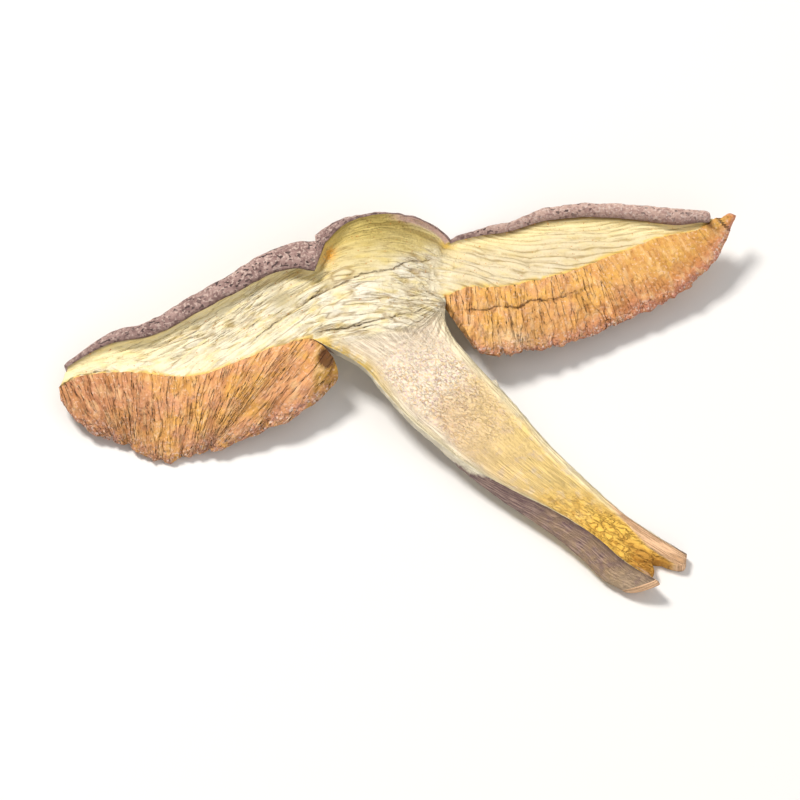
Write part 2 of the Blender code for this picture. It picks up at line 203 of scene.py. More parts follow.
STEM_LEFT = (
    (0.00, -13.8, 10.6, 8.2),
    (0.08, -9.3, 8.5, 8.0),
    (0.16, -5.5, 6.2, 7.6),
    (0.25, -2.1, 2.3, 7.0),
    (0.35, 1.8, -2.1, 6.0),
    (0.45, 6.7, -6.4, 4.8),
    (0.55, 11.9, -10.8, 3.7),
    (0.65, 17.8, -14.9, 3.0),
    (0.75, 24.1, -18.6, 2.5),
    (0.85, 30.2, -23.0, 1.8),
    (0.93, 35.5, -27.6, 1.1),
    (1.00, 40.4, -30.7, 0.8),
)
STEM_RIGHT = (
    (0.00, 7.5, 17.4, 8.0),
    (0.08, 7.5, 13.6, 7.6),
    (0.16, 8.9, 10.7, 7.2),
    (0.25, 11.0, 8.0, 6.8),
    (0.35, 14.2, 4.5, 6.0),
    (0.45, 17.5, 1.2, 5.0),
    (0.55, 21.5, -3.5, 4.0),
    (0.65, 26.1, -8.5, 3.0),
    (0.75, 30.8, -13.0, 2.2),
    (0.85, 36.1, -17.8, 1.7),
    (0.93, 41.2, -21.1, 1.3),
    (1.00, 46.0, -24.0, 1.1),
)

# Lip of the rim: station, thickness and length in millimetres, curl in degrees, roundness
LEFT_LIP = (
    (0.00, 2.0, 1.2, 30, 0.35),
    (0.16, 2.9, 2.4, 62, 0.32),
    (0.34, 3.5, 2.9, 75, 0.28),
    (0.50, 3.6, 3.0, 82, 0.25),
    (0.68, 3.9, 3.2, 85, 0.22),
    (0.82, 4.6, 3.3, 85, 0.18),
    (0.92, 5.5, 3.4, 84, 0.15),
    (1.00, 6.6, 3.4, 82, 0.10),
)
HUMP_LIP = (
    (0.00, 2.8, 3.6, 72, 0.15),
    (0.18, 2.3, 3.4, 45, 0.25),
    (0.36, 1.8, 3.2, 15, 0.35),
    (0.60, 1.8, 3.2, 10, 0.35),
    (0.85, 1.9, 3.0, 20, 0.40),
    (1.00, 2.3, 2.8, 38, 0.45),
)
RIGHT_LIP = (
    (0.00, 2.5, 2.8, 45, 0.55),
    (0.30, 2.9, 3.2, 62, 0.60),
    (0.70, 3.0, 3.2, 62, 0.60),
    (0.92, 3.1, 2.0, 48, 0.60),
    (1.00, 2.9, 0.9, 30, 0.45),
)

# Arch of the flesh between rim and seam: station, height in millimetres
LEFT_ARCH = ((0.0, 0.2), (0.3, -0.6), (0.7, -0.9), (1.0, 0.2))
HUMP_ARCH = ((0.0, 0.2), (0.4, 1.1), (0.7, 0.8), (1.0, 0.0))
RIGHT_ARCH = ((0.0, 0.0), (0.3, -0.3), (0.7, -0.5), (1.0, 0.0))

# Down the stem: station, and in millimetres the crown of its face, then the curl and the
# thickness of its left side
STEM_CROWN = ((0.0, 0.2), (0.2, 0.7), (0.5, 0.6), (0.8, 0.1), (1.0, -0.4))
STEM_CURL = ((0.0, 0.0), (0.4, 0.2), (0.7, 1.2), (1.0, 1.8))
STEM_SIDE = ((0.0, 1.9), (0.45, 2.1), (0.65, 3.2), (0.85, 4.4), (1.0, 4.8))
# How far down the stem reaches, from its left side across to its right side
STEM_END = (
    (0.00, 1.0),
    (0.07, 1.0),
    (0.18, 0.976),
    (0.42, 0.97),
    (0.66, 0.962),
    (0.76, 1.0),
    (1.00, 1.0),
)

# The hump's khaki flesh lies above this line: its height at 0 across, and its slope
KHAKI_LINE_HEIGHT = 22.2
KHAKI_LINE_SLOPE = 0.34

# The shaded groove along the hump's right side, in millimetres as seen
GROOVE = ((-4.5, 29.9), (0.0, 29.7), (3.2, 28.5), (5.6, 26.8), (7.8, 25.3))

# Places with a mask of their own: centre as seen, and reach across and up, in millimetres
SPOTS = {
    "patch": ((-19, 17.2), (2.2, 1.6)),
    "hump": ((-2, 29.5), (9, 4)),
    "torn": ((-11.5, 24.6), (1.3, 1.5)),
    "hole": ((51.5, 29.7), (0.8, 0.6)),
    "worn": ((18.5, 11.3), (3, 1.3)),
    "split": ((-11.6, 7.6), (1.1, 1.3)),
}
# The same for places that other masks and the relief take in
SMOOTH_HUMP = ((-3, 28.5), (10, 4))
SMOOTH_PATCH = ((-19, 17.2), (2.4, 1.8))
CALM_JUNCTION = ((-1, 11.5), (8, 3.5))
CALM_CENTRE = ((1, 18), (9, 5))
GOLD_NOTCH = ((7.8, 26.4), (1.6, 1.2))
EVEN_TUBES = ((38, 24), (9, 2.6))

# Which way the wrinkles run: across and up as seen in millimetres, and degrees from level
FLOW = (
    (-51, 5, 15),
    (-44, 8, 12),
    (-39, 13, 32),
    (-31, 10, 26),
    (-29, 16, 35),
    (-24, 11, 48),
    (-19, 19, 40),
    (-15, 15, 45),
    (-10, 19, 42),
    (-10, 13.7, 18),
    (-9, 25, 50),
    (-2.5, 28.7, 12),
    (3.7, 27.5, -25),
    (-1, 23.7, 16),
    (5, 22.5, -32),
    (1, 18.7, -12),
    (-1, 16.2, 6),
    (11, 21.5, -22),
    (16, 23.7, -16),
    (19, 20.5, -4),
    (24, 25, 3),
    (31, 23, 14),
    (34, 27, 8),
    (41, 28, 10),
    (-9, 10.5, -38),
    (-4, 9, -34),
    (1.5, 12.5, 24),
    (5, 10, 62),
    (0, 5, -50),
    (7, 4, -60),
    (12, -4, -48),
    (25, -14, -42),
    (38, -25, -40),
)

# Single deep creases and cracks: width and depth in millimetres, then points as seen
CREASES = (
    (0.26, 0.50, (-13.8, 11.3), (-10, 12.3), (-3.8, 13.7), (2.5, 14.9), (7.4, 16.8)),
    (
        0.26, 0.40, (-16.2, 16.2), (-13, 17.6), (-10, 19.1), (-6, 21.2), (-1.3, 21.9), (1.3, 23.1), (5, 23.5)
    ),
    (0.24, 0.30, (-1, 28.4), (3.5, 27.0), (6.5, 25.2), (8.6, 24.2)),
    (0.70, 0.55, (-5, 29.9), (0.0, 29.7), (3.2, 28.5), (5.6, 26.8), (8.0, 25.2)),
    (0.24, 0.35, (7.3, 16.6), (3.0, 16.4), (-2, 16.9), (-6, 17.6)),
    (0.24, 0.30, (7.3, 17.3), (3.0, 18.6), (0.5, 20.2), (-1.5, 22.4)),
    (0.22, 0.22, (7.0, 15.8), (2.5, 12.8), (-1.0, 9.2)),
    (0.22, 0.20, (7.2, 15.4), (5.0, 12.0), (4.0, 8.0)),
    (0.24, 0.35, (-24, 9.5), (-20, 13.4), (-15.5, 16.0), (-11, 19.6)),
    (0.24, 0.35, (-31, 8.2), (-27.6, 12.6), (-23, 16.0)),
    (0.30, 0.50, (9.6, 15.0), (14.2, 15.4), (16.7, 16.2), (19.6, 15.8), (21.7, 17.1)),
    (0.30, 0.55, (21.7, 17.1), (25, 17.1), (29.6, 18.1), (32.1, 19.6)),
    (0.20, 0.40, (-15.0, 10.0), (-18.5, 6.6), (-22, 2.0), (-26, -2.5)),
    (0.20, 0.35, (-21.0, 8.6), (-24.0, 5.6), (-28, 0.8)),
    (0.20, 0.35, (-27.5, 6.0), (-28.2, 3.0), (-28.0, 0.6)),
)

# Sharp dark lines as seen in millimetres, and how wide each is
DARK_LINES = {
    "crack": (
        0.20, (8.5, 15.2), (14.2, 15.4), (16.7, 16.2), (19.6, 15.8), (21.7, 17.1), (25, 17.1), (32.6, 19.8)
    ),
    "junction": (0.16, (-14.2, 11.2), (-10, 12.3), (-3.8, 13.7), (2.5, 14.9), (7.4, 16.8)),
    "bank": (0.18, (-16.2, 16.2), (-10, 19.1), (-6, 21.2), (-1.3, 21.9), (1.3, 23.1), (6, 23.6)),
    "wing": (0.14, (-25, 8.8), (-20, 13.4), (-15.5, 16.0), (-11, 19.6)),
    "tip": (0.22, (-57, 1.8), (-54.6, 3.2), (-52, 4.7), (-49.0, 5.3), (-46, 5.2)),
}

# Creases that spread from where the stem's right edge meets the cap: the place as seen, how
# many, from and to which direction in degrees, width and depth in millimetres
FAN_CENTRE = (7.4, 16.4)
FAN_COUNT = 15
FAN_FROM, FAN_TO = 96, 262
FAN_WIDTH = 0.24
FAN_DEPTH = 0.34

# Tubes run from a top line to a bottom line: station, top and bottom as seen in millimetres
LEFT_TUBES = (
    (0.00, -56.5, 3.4, -53.5, -4.0),
    (0.05, -54.4, 2.9, -50.8, -3.2),
    (0.17, -48.7, 4.6, -46.4, -1.5),
    (0.42, -36.2, 4.4, -36.9, -6.9),
    (0.62, -25.0, 6.6, -29.7, -3.7),
    (0.80, -14.7, 10.4, -23.7, -0.6),
    (0.90, -8.0, 12.6, -17.0, -1.0),
    (1.00, -2.0, 14.0, -10.0, 0.0),
)
RIGHT_TUBES = (
    (0.00, 6.0, 17.6, 6.0, 8.0),
    (0.10, 10.3, 18.1, 10.9, 10.0),
    (0.40, 25.0, 20.6, 26.5, 11.2),
    (0.60, 34.4, 23.8, 37.8, 16.2),
    (0.84, 45.3, 28.0, 49.4, 20.6),
    (1.00, 52.6, 31.0, 57.0, 27.0),
)
TUBE_LINES_LENGTH = 50  # millimetres along a top line, for the scale of the tubes

# The smooth fields that the wrinkles' texture follows: centre and reach in millimetres
MAP_CENTRE = (0.0, 5.0)
MAP_REACH = 60.0
MAP_DEGREE = 9

FLESH, TUBES, SKIN = range(3)
LAST_LEFT = LEFT_COLUMNS
FIRST_RIGHT = LEFT_COLUMNS + MIDDLE_COLUMNS
SEAM_ENDS = 8  # columns over which the gold along the seams ends above the stem
RIGHT_TUBES_STRENGTH = 0.85  # how strongly the right tubes' own colours show
TORN_ROWS = LIP_ROWS + 3  # how far the tear beside the hump runs down the net
TEAR_SPREAD = 26  # columns over which the two sides of the tear come together below it
TURNED = [0, 3, 2, 1]  # a cell's corners the other way round
FAR = 99.0  # millimetres, for what is nowhere near


def curve(points, station):
    """Values at the stations on a smooth curve through points that start with their station."""
    table = np.array(points, float)
    known, values = table[:, 0], table[:, 1:]
    slopes = np.gradient(values, known, axis=0)
    first = np.clip(np.searchsorted(known, station, "right") - 1, 0, len(known) - 2)
    step = (known[first + 1] - known[first])[:, None]
    t = (station - known[first])[:, None] / step
    return (
        (2 * t**3 - 3 * t**2 + 1) * values[first]
        + (t**3 - 2 * t**2 + t) * step * slopes[first]
        + (3 * t**2 - 2 * t**3) * values[first + 1]
        + (t**3 - t**2) * step * slopes[first + 1]
    )


def line(points, station):
    """Points in the part's frame on a line of the outline, which is given as it is seen."""
    across, up, height = curve(points, station).T * MM
    back = (up - height * math.cos(SEEN_FROM)) / math.sin(SEEN_FROM)
    return np.stack([across - CENTRE[0], back - CENTRE[1], height], axis=1)


def as_seen(points):
    """Where points of the part are on the lines above: across and up, in millimetres."""
    across = points[..., 0] + CENTRE[0]
    up = (points[..., 1] + CENTRE[1]) * math.sin(SEEN_FROM) + points[..., 2] * math.cos(SEEN_FROM)
    return np.stack([across, up], axis=-1) / MM


def unit(vectors):
    return vectors / np.linalg.norm(vectors, axis=-1, keepdims=True)


def hump(share):
    """0 at both ends of the share from 0 to 1, and 1 in its middle."""
    return 4 * share * (1 - share)


def ramp(value, low, high):
    """0 up to low, 1 from high on, and smooth in between."""
    share = np.clip((value - low) / (high - low), 0, 1)
    return share * share * (3 - 2 * share)


def bell(value, width):
    """1 where the value is 0, falling to nothing a few widths away."""
    return np.exp(-((value / width) ** 2))


def spot(places, centre, reach):
    """1 at the centre, falling to nothing a few reaches across and up from it."""
    across, up = (((places - centre) / reach) ** 2).T
    return np.exp(-across - up)


def fullness(columns):
    """How full each column is, from 0.1 to 1, by the length of the vector down it."""
    return np.clip(np.linalg.norm(columns, axis=1) / FULL_LENGTH, 0.1, 1)


def thinned(columns):
    """Share of the full thickness that each column has."""
    return 0.5 + 0.5 * fullness(columns)


def along_rim(lines, value):
    """A function's values on the line of each stretch of the rim, joined in the columns' order."""
    stations = (
        np.linspace(0, 1, LEFT_COLUMNS + 1),
        np.linspace(0, 1, MIDDLE_COLUMNS + 1)[1:-1],
        np.linspace(0, 1, RIGHT_COLUMNS + 1),
    )
    return np.concatenate([value(points, station) for points, station in zip(lines, stations)])


def closed_tear(level, spread):
    """The row with the jump at the tear spread over some columns on either side."""
    before, last, first, after = level[LAST_LEFT - 1 : LAST_LEFT + 3]
    jump = first - last - (last - before + after - first) / 2
    column = np.arange(len(level))
    left = np.clip(1 - (LAST_LEFT - column) / spread, 0, 1) * (column <= LAST_LEFT)
    right = np.clip(1 - (column - LAST_LEFT - 1) / spread, 0, 1) * (column > LAST_LEFT)
    return level + ((left**2 - right**2) / 2)[:, None] * jump


def flesh_rows():
    """Rows of the cap's flesh from the rim to the seam, half-thicknesses, and rim roundness.

    The first rows are the lip. It lies on an arc that starts at the base and curls up.
    """
    rims = (LEFT_RIM, HUMP_RIM, RIGHT_RIM)
    rim = along_rim(rims, line)
    along = along_rim(rims, lambda points, s: unit(np.gradient(line(points, s), axis=0)))
    seam = along_rim((LEFT_SEAM, JUNCTION, RIGHT_SEAM), line)
    lip = along_rim((LEFT_LIP, HUMP_LIP, RIGHT_LIP), curve)
    arch = along_rim((LEFT_ARCH, HUMP_ARCH, RIGHT_ARCH), curve) * MM

    wander = np.cumsum(np.linalg.norm(np.gradient(rim, axis=0), axis=1)) / MM
    flat = 0 * wander
    uneven = RIM_WANDER * (grain(wander / 3, flat, 31) + 0.6 * grain(wander / 1.2, flat, 32))
    down = seam - rim
    sheet = FLESH_THICKNESS * thinned(down)
    thick = lip[:, 0] * MM
    length = np.minimum(lip[:, 1] * MM, 0.4 * np.linalg.norm(down, axis=1))[:, None]
    curl = np.radians(lip[:, 2])[:, None]
    skew = np.sum(down * along, axis=1, keepdims=True) * along
    inward = unit(down - skew * fullness(down)[:, None])
    face = unit(np.cross(inward, along))
    bend = length / curl
    base = rim + inward * bend * np.sin(curl) - face * bend * (1 - np.cos(curl))

    rows, halves = [], []
    for row in range(LIP_ROWS):
        left_to_go = 1 - row / LIP_ROWS
        turn = curl * left_to_go
        lifted = (uneven * left_to_go**2)[:, None] * (0, 0, 1)
        rows.append(base - inward * bend * np.sin(turn) + face * bend * (1 - np.cos(turn)) + lifted)
        halves.append((sheet + (thick - sheet) * left_to_go**1.5) / 2)
    for row in range(FLESH_ROWS + 1):
        share = row / FLESH_ROWS
        level = base * (1 - share) + seam * share
        level[:, 2:] += arch * hump(share)
        rows.append(closed_tear(level, 1 + TEAR_SPREAD * min(1, 3 * share)))
        halves.append(sheet / 2)
    return rows, halves, lip[:, 3]


def tube_rows(seam, mouths_line, bow, seed):
    """Rows of a tube layer below its seam, bulging out of the face, and half-thicknesses."""
    station = np.linspace(0, 1, len(seam))
    mouths = line(mouths_line, station)
    ragged = np.sin(station * 61) + 0.8 * np.sin(station * 97 + 1)
    mouths[1:-1, 1] += MOUTHS_RAGGED * ragged[1:-1]
    full = fullness(mouths - seam)
    fringe = grain(station * 60, 0 * station, seed) + 0.8 * grain(station * 110, 0 * station, seed + 1)
    inner_end = np.clip((station - 0.85) / 0.15, 0, 1) ** 2
    rows, halves = [], []
    for row in range(1, TUBE_ROWS + 1):
        share = row / TUBE_ROWS
        level = seam * (1 - share) + mouths * share
        level += unit(mouths - seam) * (FRINGE * fringe * full * share**6)[:, None]
        level[:, 0] += bow * inner_end * hump(share)
        level[:, 1] -= TUBE_BULGE / 2 * full * hump(share)
        level[:, 2] += TUBE_BULGE * full * hump(share)
        rows.append(level)
        halves.append(TUBE_THICKNESS / 2 * thinned(mouths - seam))
    return rows, halves


def stem_rows(junction):
    """Rows of the stem below the junction, with its curled left side and its two prongs."""
    share = np.linspace(0, 1, len(junction))
    across = share[:, None]
    reach = curve(STEM_END, share)[:, 0]
    arched = junction - junction[0] * (1 - across) - junction[-1] * across
    turned = np.clip(1 - share / CURL_WIDTH, 0, 1)
    rows, halves = [], []
    for row in range(1, STEM_ROWS + 1):
        down = row / STEM_ROWS * reach
        level = line(STEM_LEFT, down) * (1 - across) + line(STEM_RIGHT, down) * across
        level += arched * np.clip(1 - 5 * down, 0, 1)[:, None] ** 2
        level[:, 2] += curve(STEM_CROWN, down)[:, 0] * MM * hump(share)
        level[:, 2] += curve(STEM_CURL, down)[:, 0] * MM * turned**2
        side = curve(STEM_SIDE, down)[:, 0] * MM
        rows.append(level)
        halves.append((STEM_THICKNESS + (side - STEM_THICKNESS) * turned**1.5) / 2)
    return rows, halves


class Net:
    """The middle surface: its points with half-thicknesses, and the blocks of point numbers."""

    def __init__(self):
        rows, halves, self.rim_roundness = flesh_rows()
        self.points = np.empty((0, 3))
        self.halves = np.empty(0)
        self.top = self.added(rows, halves)
        above_left = self.top[-1, : LAST_LEFT + 1]
        above_stem = self.top[-1, LAST_LEFT : FIRST_RIGHT + 1]
        above_right = self.top[-1, FIRST_RIGHT:]
        seam = rows[-1]
        left = self.added(*tube_rows(seam[: LAST_LEFT + 1], LEFT_MOUTHS, INNER_END_BOW, 3))
        right = self.added(*tube_rows(seam[FIRST_RIGHT:], RIGHT_MOUTHS, 0, 5))
        stem = self.added(*stem_rows(seam[LAST_LEFT : FIRST_RIGHT + 1]))
        self.left = np.vstack([above_left, left])
        self.right = np.vstack([above_right, right])
        self.stem = np.vstack([above_stem, stem])
        self.blocks = ((self.top, FLESH), (self.left, TUBES), (self.right, TUBES), (self.stem, FLESH))
        self.cells = np.vstack([corners(block) for block, _ in self.blocks])
        zones = [np.full(len(corners(block)), zone) for block, zone in self.blocks]
        self.cell_zones = np.concatenate(zones)

    def added(self, rows, halves):
        first = len(self.points)
        self.points = np.vstack([self.points, *rows])
        self.halves = np.concatenate([self.halves, *halves])
        return np.arange(first, len(self.points)).reshape(len(rows), -1)

    def edge(self):
        """Point numbers once round the outline from the left end of the rim, and their zones."""
        parts = (
            (self.top[0], SKIN),
            (self.top[1:LIP_ROWS, -1], SKIN),
            (self.top[LIP_ROWS:, -1], FLESH),
            (self.right[1:, -1], TUBES),
            (self.right[-1, -2::-1], TUBES),
            (self.right[-2::-1, 0], TUBES),
            (self.stem[1:, -1], SKIN),
            (self.stem[-1, -2::-1], FLESH),
            (self.stem[-2::-1, 0], SKIN),
            (self.left[1:, -1], TUBES),
            (self.left[-1, -2::-1], TUBES),
            (self.left[-2:0:-1, 0], TUBES),
            (self.top[-1 : LIP_ROWS - 1 : -1, 0], FLESH),
            (self.top[LIP_ROWS - 1 : 0 : -1, 0], SKIN),
        )
        zones = [np.full(len(part), zone) for part, zone in parts]
        return np.concatenate([part for part, _ in parts]), np.concatenate(zones)

    def normals(self):
        """Unit normals of the points, averaged with those round them but not across the tear."""
        torn = np.isin(self.cells[:, 0], self.top[:TORN_ROWS, LAST_LEFT])
        cells = self.cells[~torn]
        facing = np.cross(
            self.points[cells[:, 2]] - self.points[cells[:, 0]],
            self.points[cells[:, 3]] - self.points[cells[:, 1]],
        )
        total = np.zeros_like(self.points)
        for corner in range(4):
            np.add.at(total, cells[:, corner], facing)
        normals = unit(total)
        for _ in range(NORMAL_ROUNDS):
            normals = unit(sum_round(cells, normals))
        return normals


def corners(block):
    """What a block holds at the corners of every cell, which always turn the same way."""
    turn = (block[:-1, :-1], block[1:, :-1], block[1:, 1:], block[:-1, 1:])
    return np.stack(turn, axis=2).reshape(-1, 4, *block.shape[2:])


def sum_round(cells, values):
    """For each point, the sum of the values at the corners of the cells round it."""
    total = np.zeros_like(values)
    in_cell = values[cells].sum(axis=1)
    for corner in range(4):
        np.add.at(total, cells[:, corner], in_cell)
    return total


def grain(across, down, seed):
    """Smooth random values from -1 to 1 that change over one unit."""
    table = np.random.default_rng(seed).uniform(-1, 1, (64, 64))
    column, row = np.floor(across).astype(int), np.floor(down).astype(int)
    x, y = across - column, down - row
    x, y = x * x * (3 - 2 * x), y * y * (3 - 2 * y)
    here, right = table[column % 64, row % 64], table[(column + 1) % 64, row % 64]
    below, beyond = table[column % 64, (row + 1) % 64], table[(column + 1) % 64, (row + 1) % 64]
    return (here * (1 - x) + right * x) * (1 - y) + (below * (1 - x) + beyond * x) * y


def flow_angles(places):
    """Which way the wrinkles run at places as seen, in radians from level."""
    guides = np.array(FLOW, float)
    nearness = 1 / (((places[:, None] - guides[None, :, :2]) ** 2).sum(axis=2) + 4) ** 1.5
    double = 2 * np.radians(guides[:, 2])
    return np.arctan2(nearness @ np.sin(double), nearness @ np.cos(double)) / 2


def folds(mapped, wave, length, count, seed, turned=0.15):
    """Waves with their crests along the grain, as a sum of short wave trains. Their spread is 1."""
    rng = np.random.default_rng(seed)
    centres = mapped[rng.integers(0, len(mapped), count)]
    angles = rng.normal(0, turned, count)
    shifts = rng.uniform(0, 2 * math.pi, count)
    total = np.zeros(len(mapped))
    for centre, angle, shift in zip(centres, angles, shifts):
        offset = mapped - centre
        near = np.flatnonzero(np.abs(offset).max(axis=1) < 2.2 * length)
        ahead = offset[near] @ (math.cos(angle), math.sin(angle))
        aside = offset[near] @ (-math.sin(angle), math.cos(angle))
        strength = np.exp(-((ahead / length) ** 2) - (aside / wave) ** 2)
        total[near] += strength * np.cos(2 * math.pi * aside / wave + shift)
    return total / total.std()


def creased(waves):
    """Rounded bulges with sharp valleys between them, from 0 to about 1."""
    return (1 - np.exp(-np.abs(waves) / 0.55)) * (0.75 + 0.25 * np.minimum(np.abs(waves), 2))


def fan_creases(seed):
    """Creases that start at the fan's centre and bend into the way the wrinkles run."""
    rng = np.random.default_rng(seed)
    creases = []
    for degrees in np.linspace(FAN_FROM, FAN_TO, FAN_COUNT):
        angle = math.radians(degrees + rng.normal(0, 3))
        radial = np.array((math.cos(angle), math.sin(angle)))
        points = [FAN_CENTRE + radial * rng.uniform(0.5, 1.6)]
        for step in range(rng.integers(4, 9)):
            flow = flow_angles(points[-1][None])[0]
            turned = np.array((math.cos(flow), math.sin(flow)))
            turned *= np.sign(turned @ radial)
            share = 0.16 * step
            points.append(points[-1] + 1.5 * unit(radial * (1 - share) + turned * share))
        creases.append((FAN_WIDTH, FAN_DEPTH * rng.uniform(0.5, 1), *points))
    return creases


def beside_line(places, points, extended=False):
    """How far places as seen are from a line, on which side, and how far along it, 0 to 1.

    An extended line goes on straight past both its ends.
    """
    points = np.array(points, float)
    nearest = np.full(len(places), np.inf)
    side, along_line = np.zeros((2, len(places)))
    last = len(points) - 2
    for number, (start, end) in enumerate(zip(points, points[1:])):
        along = end - start
        lowest = -FAR if extended and number == 0 else 0
        highest = FAR if extended and number == last else 1
        share = np.clip((places - start) @ along / (along @ along), lowest, highest)
        gap = places - start - share[:, None] * along
        distance = np.linalg.norm(gap, axis=1)
        closer = distance < nearest
        side = np.where(closer, np.sign(along[0] * gap[:, 1] - along[1] * gap[:, 0]), side)
        along_line = np.where(closer, (number + share) / (last + 1), along_line)
        nearest = np.minimum(nearest, distance)
    return nearest, side, along_line


def line_masks(places):
    """For each dark line its signed distance, and how strongly it is drawn at its two ends."""
    masks = {}
    for name, (_, *points) in DARK_LINES.items():
        distance, side, along = beside_line(places, points, extended=True)
        masks[name + " offset"] = side * distance
        masks[name + " strength"] = ramp(along, 0, 0.15) * (1 - ramp(along, 0.85, 1))
    return masks


def crease_depth(places, seed):
    """How deep the single creases are at places as seen, in millimetres."""
    x, y = places.T
    wobble = [grain(x / 1.1, y / 1.1, seed), grain(x, y, seed + 1)]
    moved = places + CREASE_WOBBLE * np.stack(wobble, axis=1)
    depth = np.zeros(len(places))
    for width, deep, *points in (*CREASES, *fan_creases(seed)):
        distance, _, share = beside_line(moved, points)
        fade = np.sin(math.pi * (0.12 + 0.76 * share))
        depth = np.maximum(depth, deep * fade * bell(distance, width))
    return depth


def tube_place(places, lines):
    """Along which tube each place as seen lies: millimetres along the top line."""
    stations = np.linspace(0, 1, 161)
    top_x, top_y, bottom_x, bottom_y = curve(lines, stations).T
    run_x, run_y = bottom_x - top_x, bottom_y - top_y
    side = (places[:, :1] - top_x) * run_y - (places[:, 1:] - top_y) * run_x
    beyond = side > 0
    first = np.clip(np.argmax(beyond, axis=1), 1, None)
    rows = np.arange(len(places))
    before, after = side[rows, first - 1], side[rows, first]
    share = np.clip(before / (before - after), 0, 1)
    return (first - 1 + share) / (len(stations) - 1) * TUBE_LINES_LENGTH


def distances_down(net, block):
    """Length down each column of a block from its first row, in millimetres."""
    steps = np.linalg.norm(np.diff(net.points[block], axis=0), axis=2)
    return np.vstack([np.zeros(block.shape[1]), np.cumsum(steps, axis=0)]) / MM


def grain_map(net):
    """Coordinates along and across the wrinkles, in millimetres: the smooth fields that fit best."""
    places = as_seen(net.points)
    angles = flow_angles(places)
    x, y = (places - MAP_CENTRE).T / MAP_REACH
    powers = [(i, j) for i in range(MAP_DEGREE + 1) for j in range(MAP_DEGREE + 1 - i) if i + j]
    slope_x = np.stack([i * x ** max(i - 1, 0) * y**j for i, j in powers], axis=1) / MAP_REACH
    slope_y = np.stack([j * x**i * y ** max(j - 1, 0) for i, j in powers], axis=1) / MAP_REACH
    slopes = np.vstack([slope_x, slope_y])
    fields = np.stack([x**i * y**j for i, j in powers], axis=1)
    along = np.concatenate([np.cos(angles), np.sin(angles)])
    across = np.concatenate([-np.sin(angles), np.cos(angles)])
    fitted = np.linalg.lstsq(slopes, np.stack([along, across], axis=1), rcond=None)[0]
    return fields @ fitted


def flow_maps(net):
    """For each block, where its points are along and down the grain, in millimetres."""
    base = net.points[net.top[LIP_ROWS]]
    steps = np.linalg.norm(np.diff(base, axis=0), axis=1) / MM
    along = np.concatenate([[0], np.cumsum(steps)])
    down = distances_down(net, net.top)
    top = np.stack([np.broadcast_to(along, down.shape), down], axis=-1)
    maps = [top]
    for block, lines in ((net.left, LEFT_TUBES), (net.right, RIGHT_TUBES)):
        places = as_seen(net.points[block]).reshape(-1, 2)
        ridge = tube_place(places, lines).reshape(block.shape)
        maps.append(np.stack([ridge, distances_down(net, block)], axis=-1))
    stem_along = along[LAST_LEFT : FIRST_RIGHT + 1]
    stem_down = distances_down(net, net.stem) + down[-1, LAST_LEFT : FIRST_RIGHT + 1]
    maps.append(np.stack([np.broadcast_to(stem_along, stem_down.shape), stem_down], axis=-1))
    return maps


def rim_and_seam(net, top_map):
    """How far the flesh is from the rim and from the seam in millimetres, and far elsewhere."""
    from_rim, from_seam = np.full((2, len(net.points)), FAR)
    from_rim[net.top] = top_map[..., 1]
    from_seam[net.top] = top_map[-1:, :, 1] - top_map[..., 1]
    return from_rim, from_seam


def smoothness(net, top_map):
    """Where the dried flesh is smooth, 0 to 1: hump, rim, seam of the wings, and one patch."""
    places = as_seen(net.points)
    from_rim, from_seam = rim_and_seam(net, top_map)
    along_seam = bell(from_seam, 3.5) * ramp(np.abs(places[:, 0]), 14, 24)
    smooth = 0.55 * spot(places, *SMOOTH_HUMP) + 0.85 * spot(places, *SMOOTH_PATCH)
    return np.clip(smooth + 0.6 * bell(from_rim, 4) + 0.5 * along_seam, 0, 0.9)


def stem_shares(net):
    """How far down and how far across the stem each point is, 0 to 1, and 0 on the cap."""
    down, across = np.zeros(len(net.points)), np.zeros(len(net.points))
    down[net.stem] = np.linspace(0, 1, len(net.stem))[:, None]
    across[net.stem] = np.linspace(0, 1, net.stem.shape[1])
    return down, across


def prong_share(down, across):
    """1 on the right prong, which splits off as a wedge from the stem's right edge, 0 elsewhere."""
    boundary = 0.74 + 0.26 * (1 - ramp(down, 0.78, 0.96))
    return ramp(down, 0.76, 0.84) * ramp(across - boundary, -0.02, 0.03)


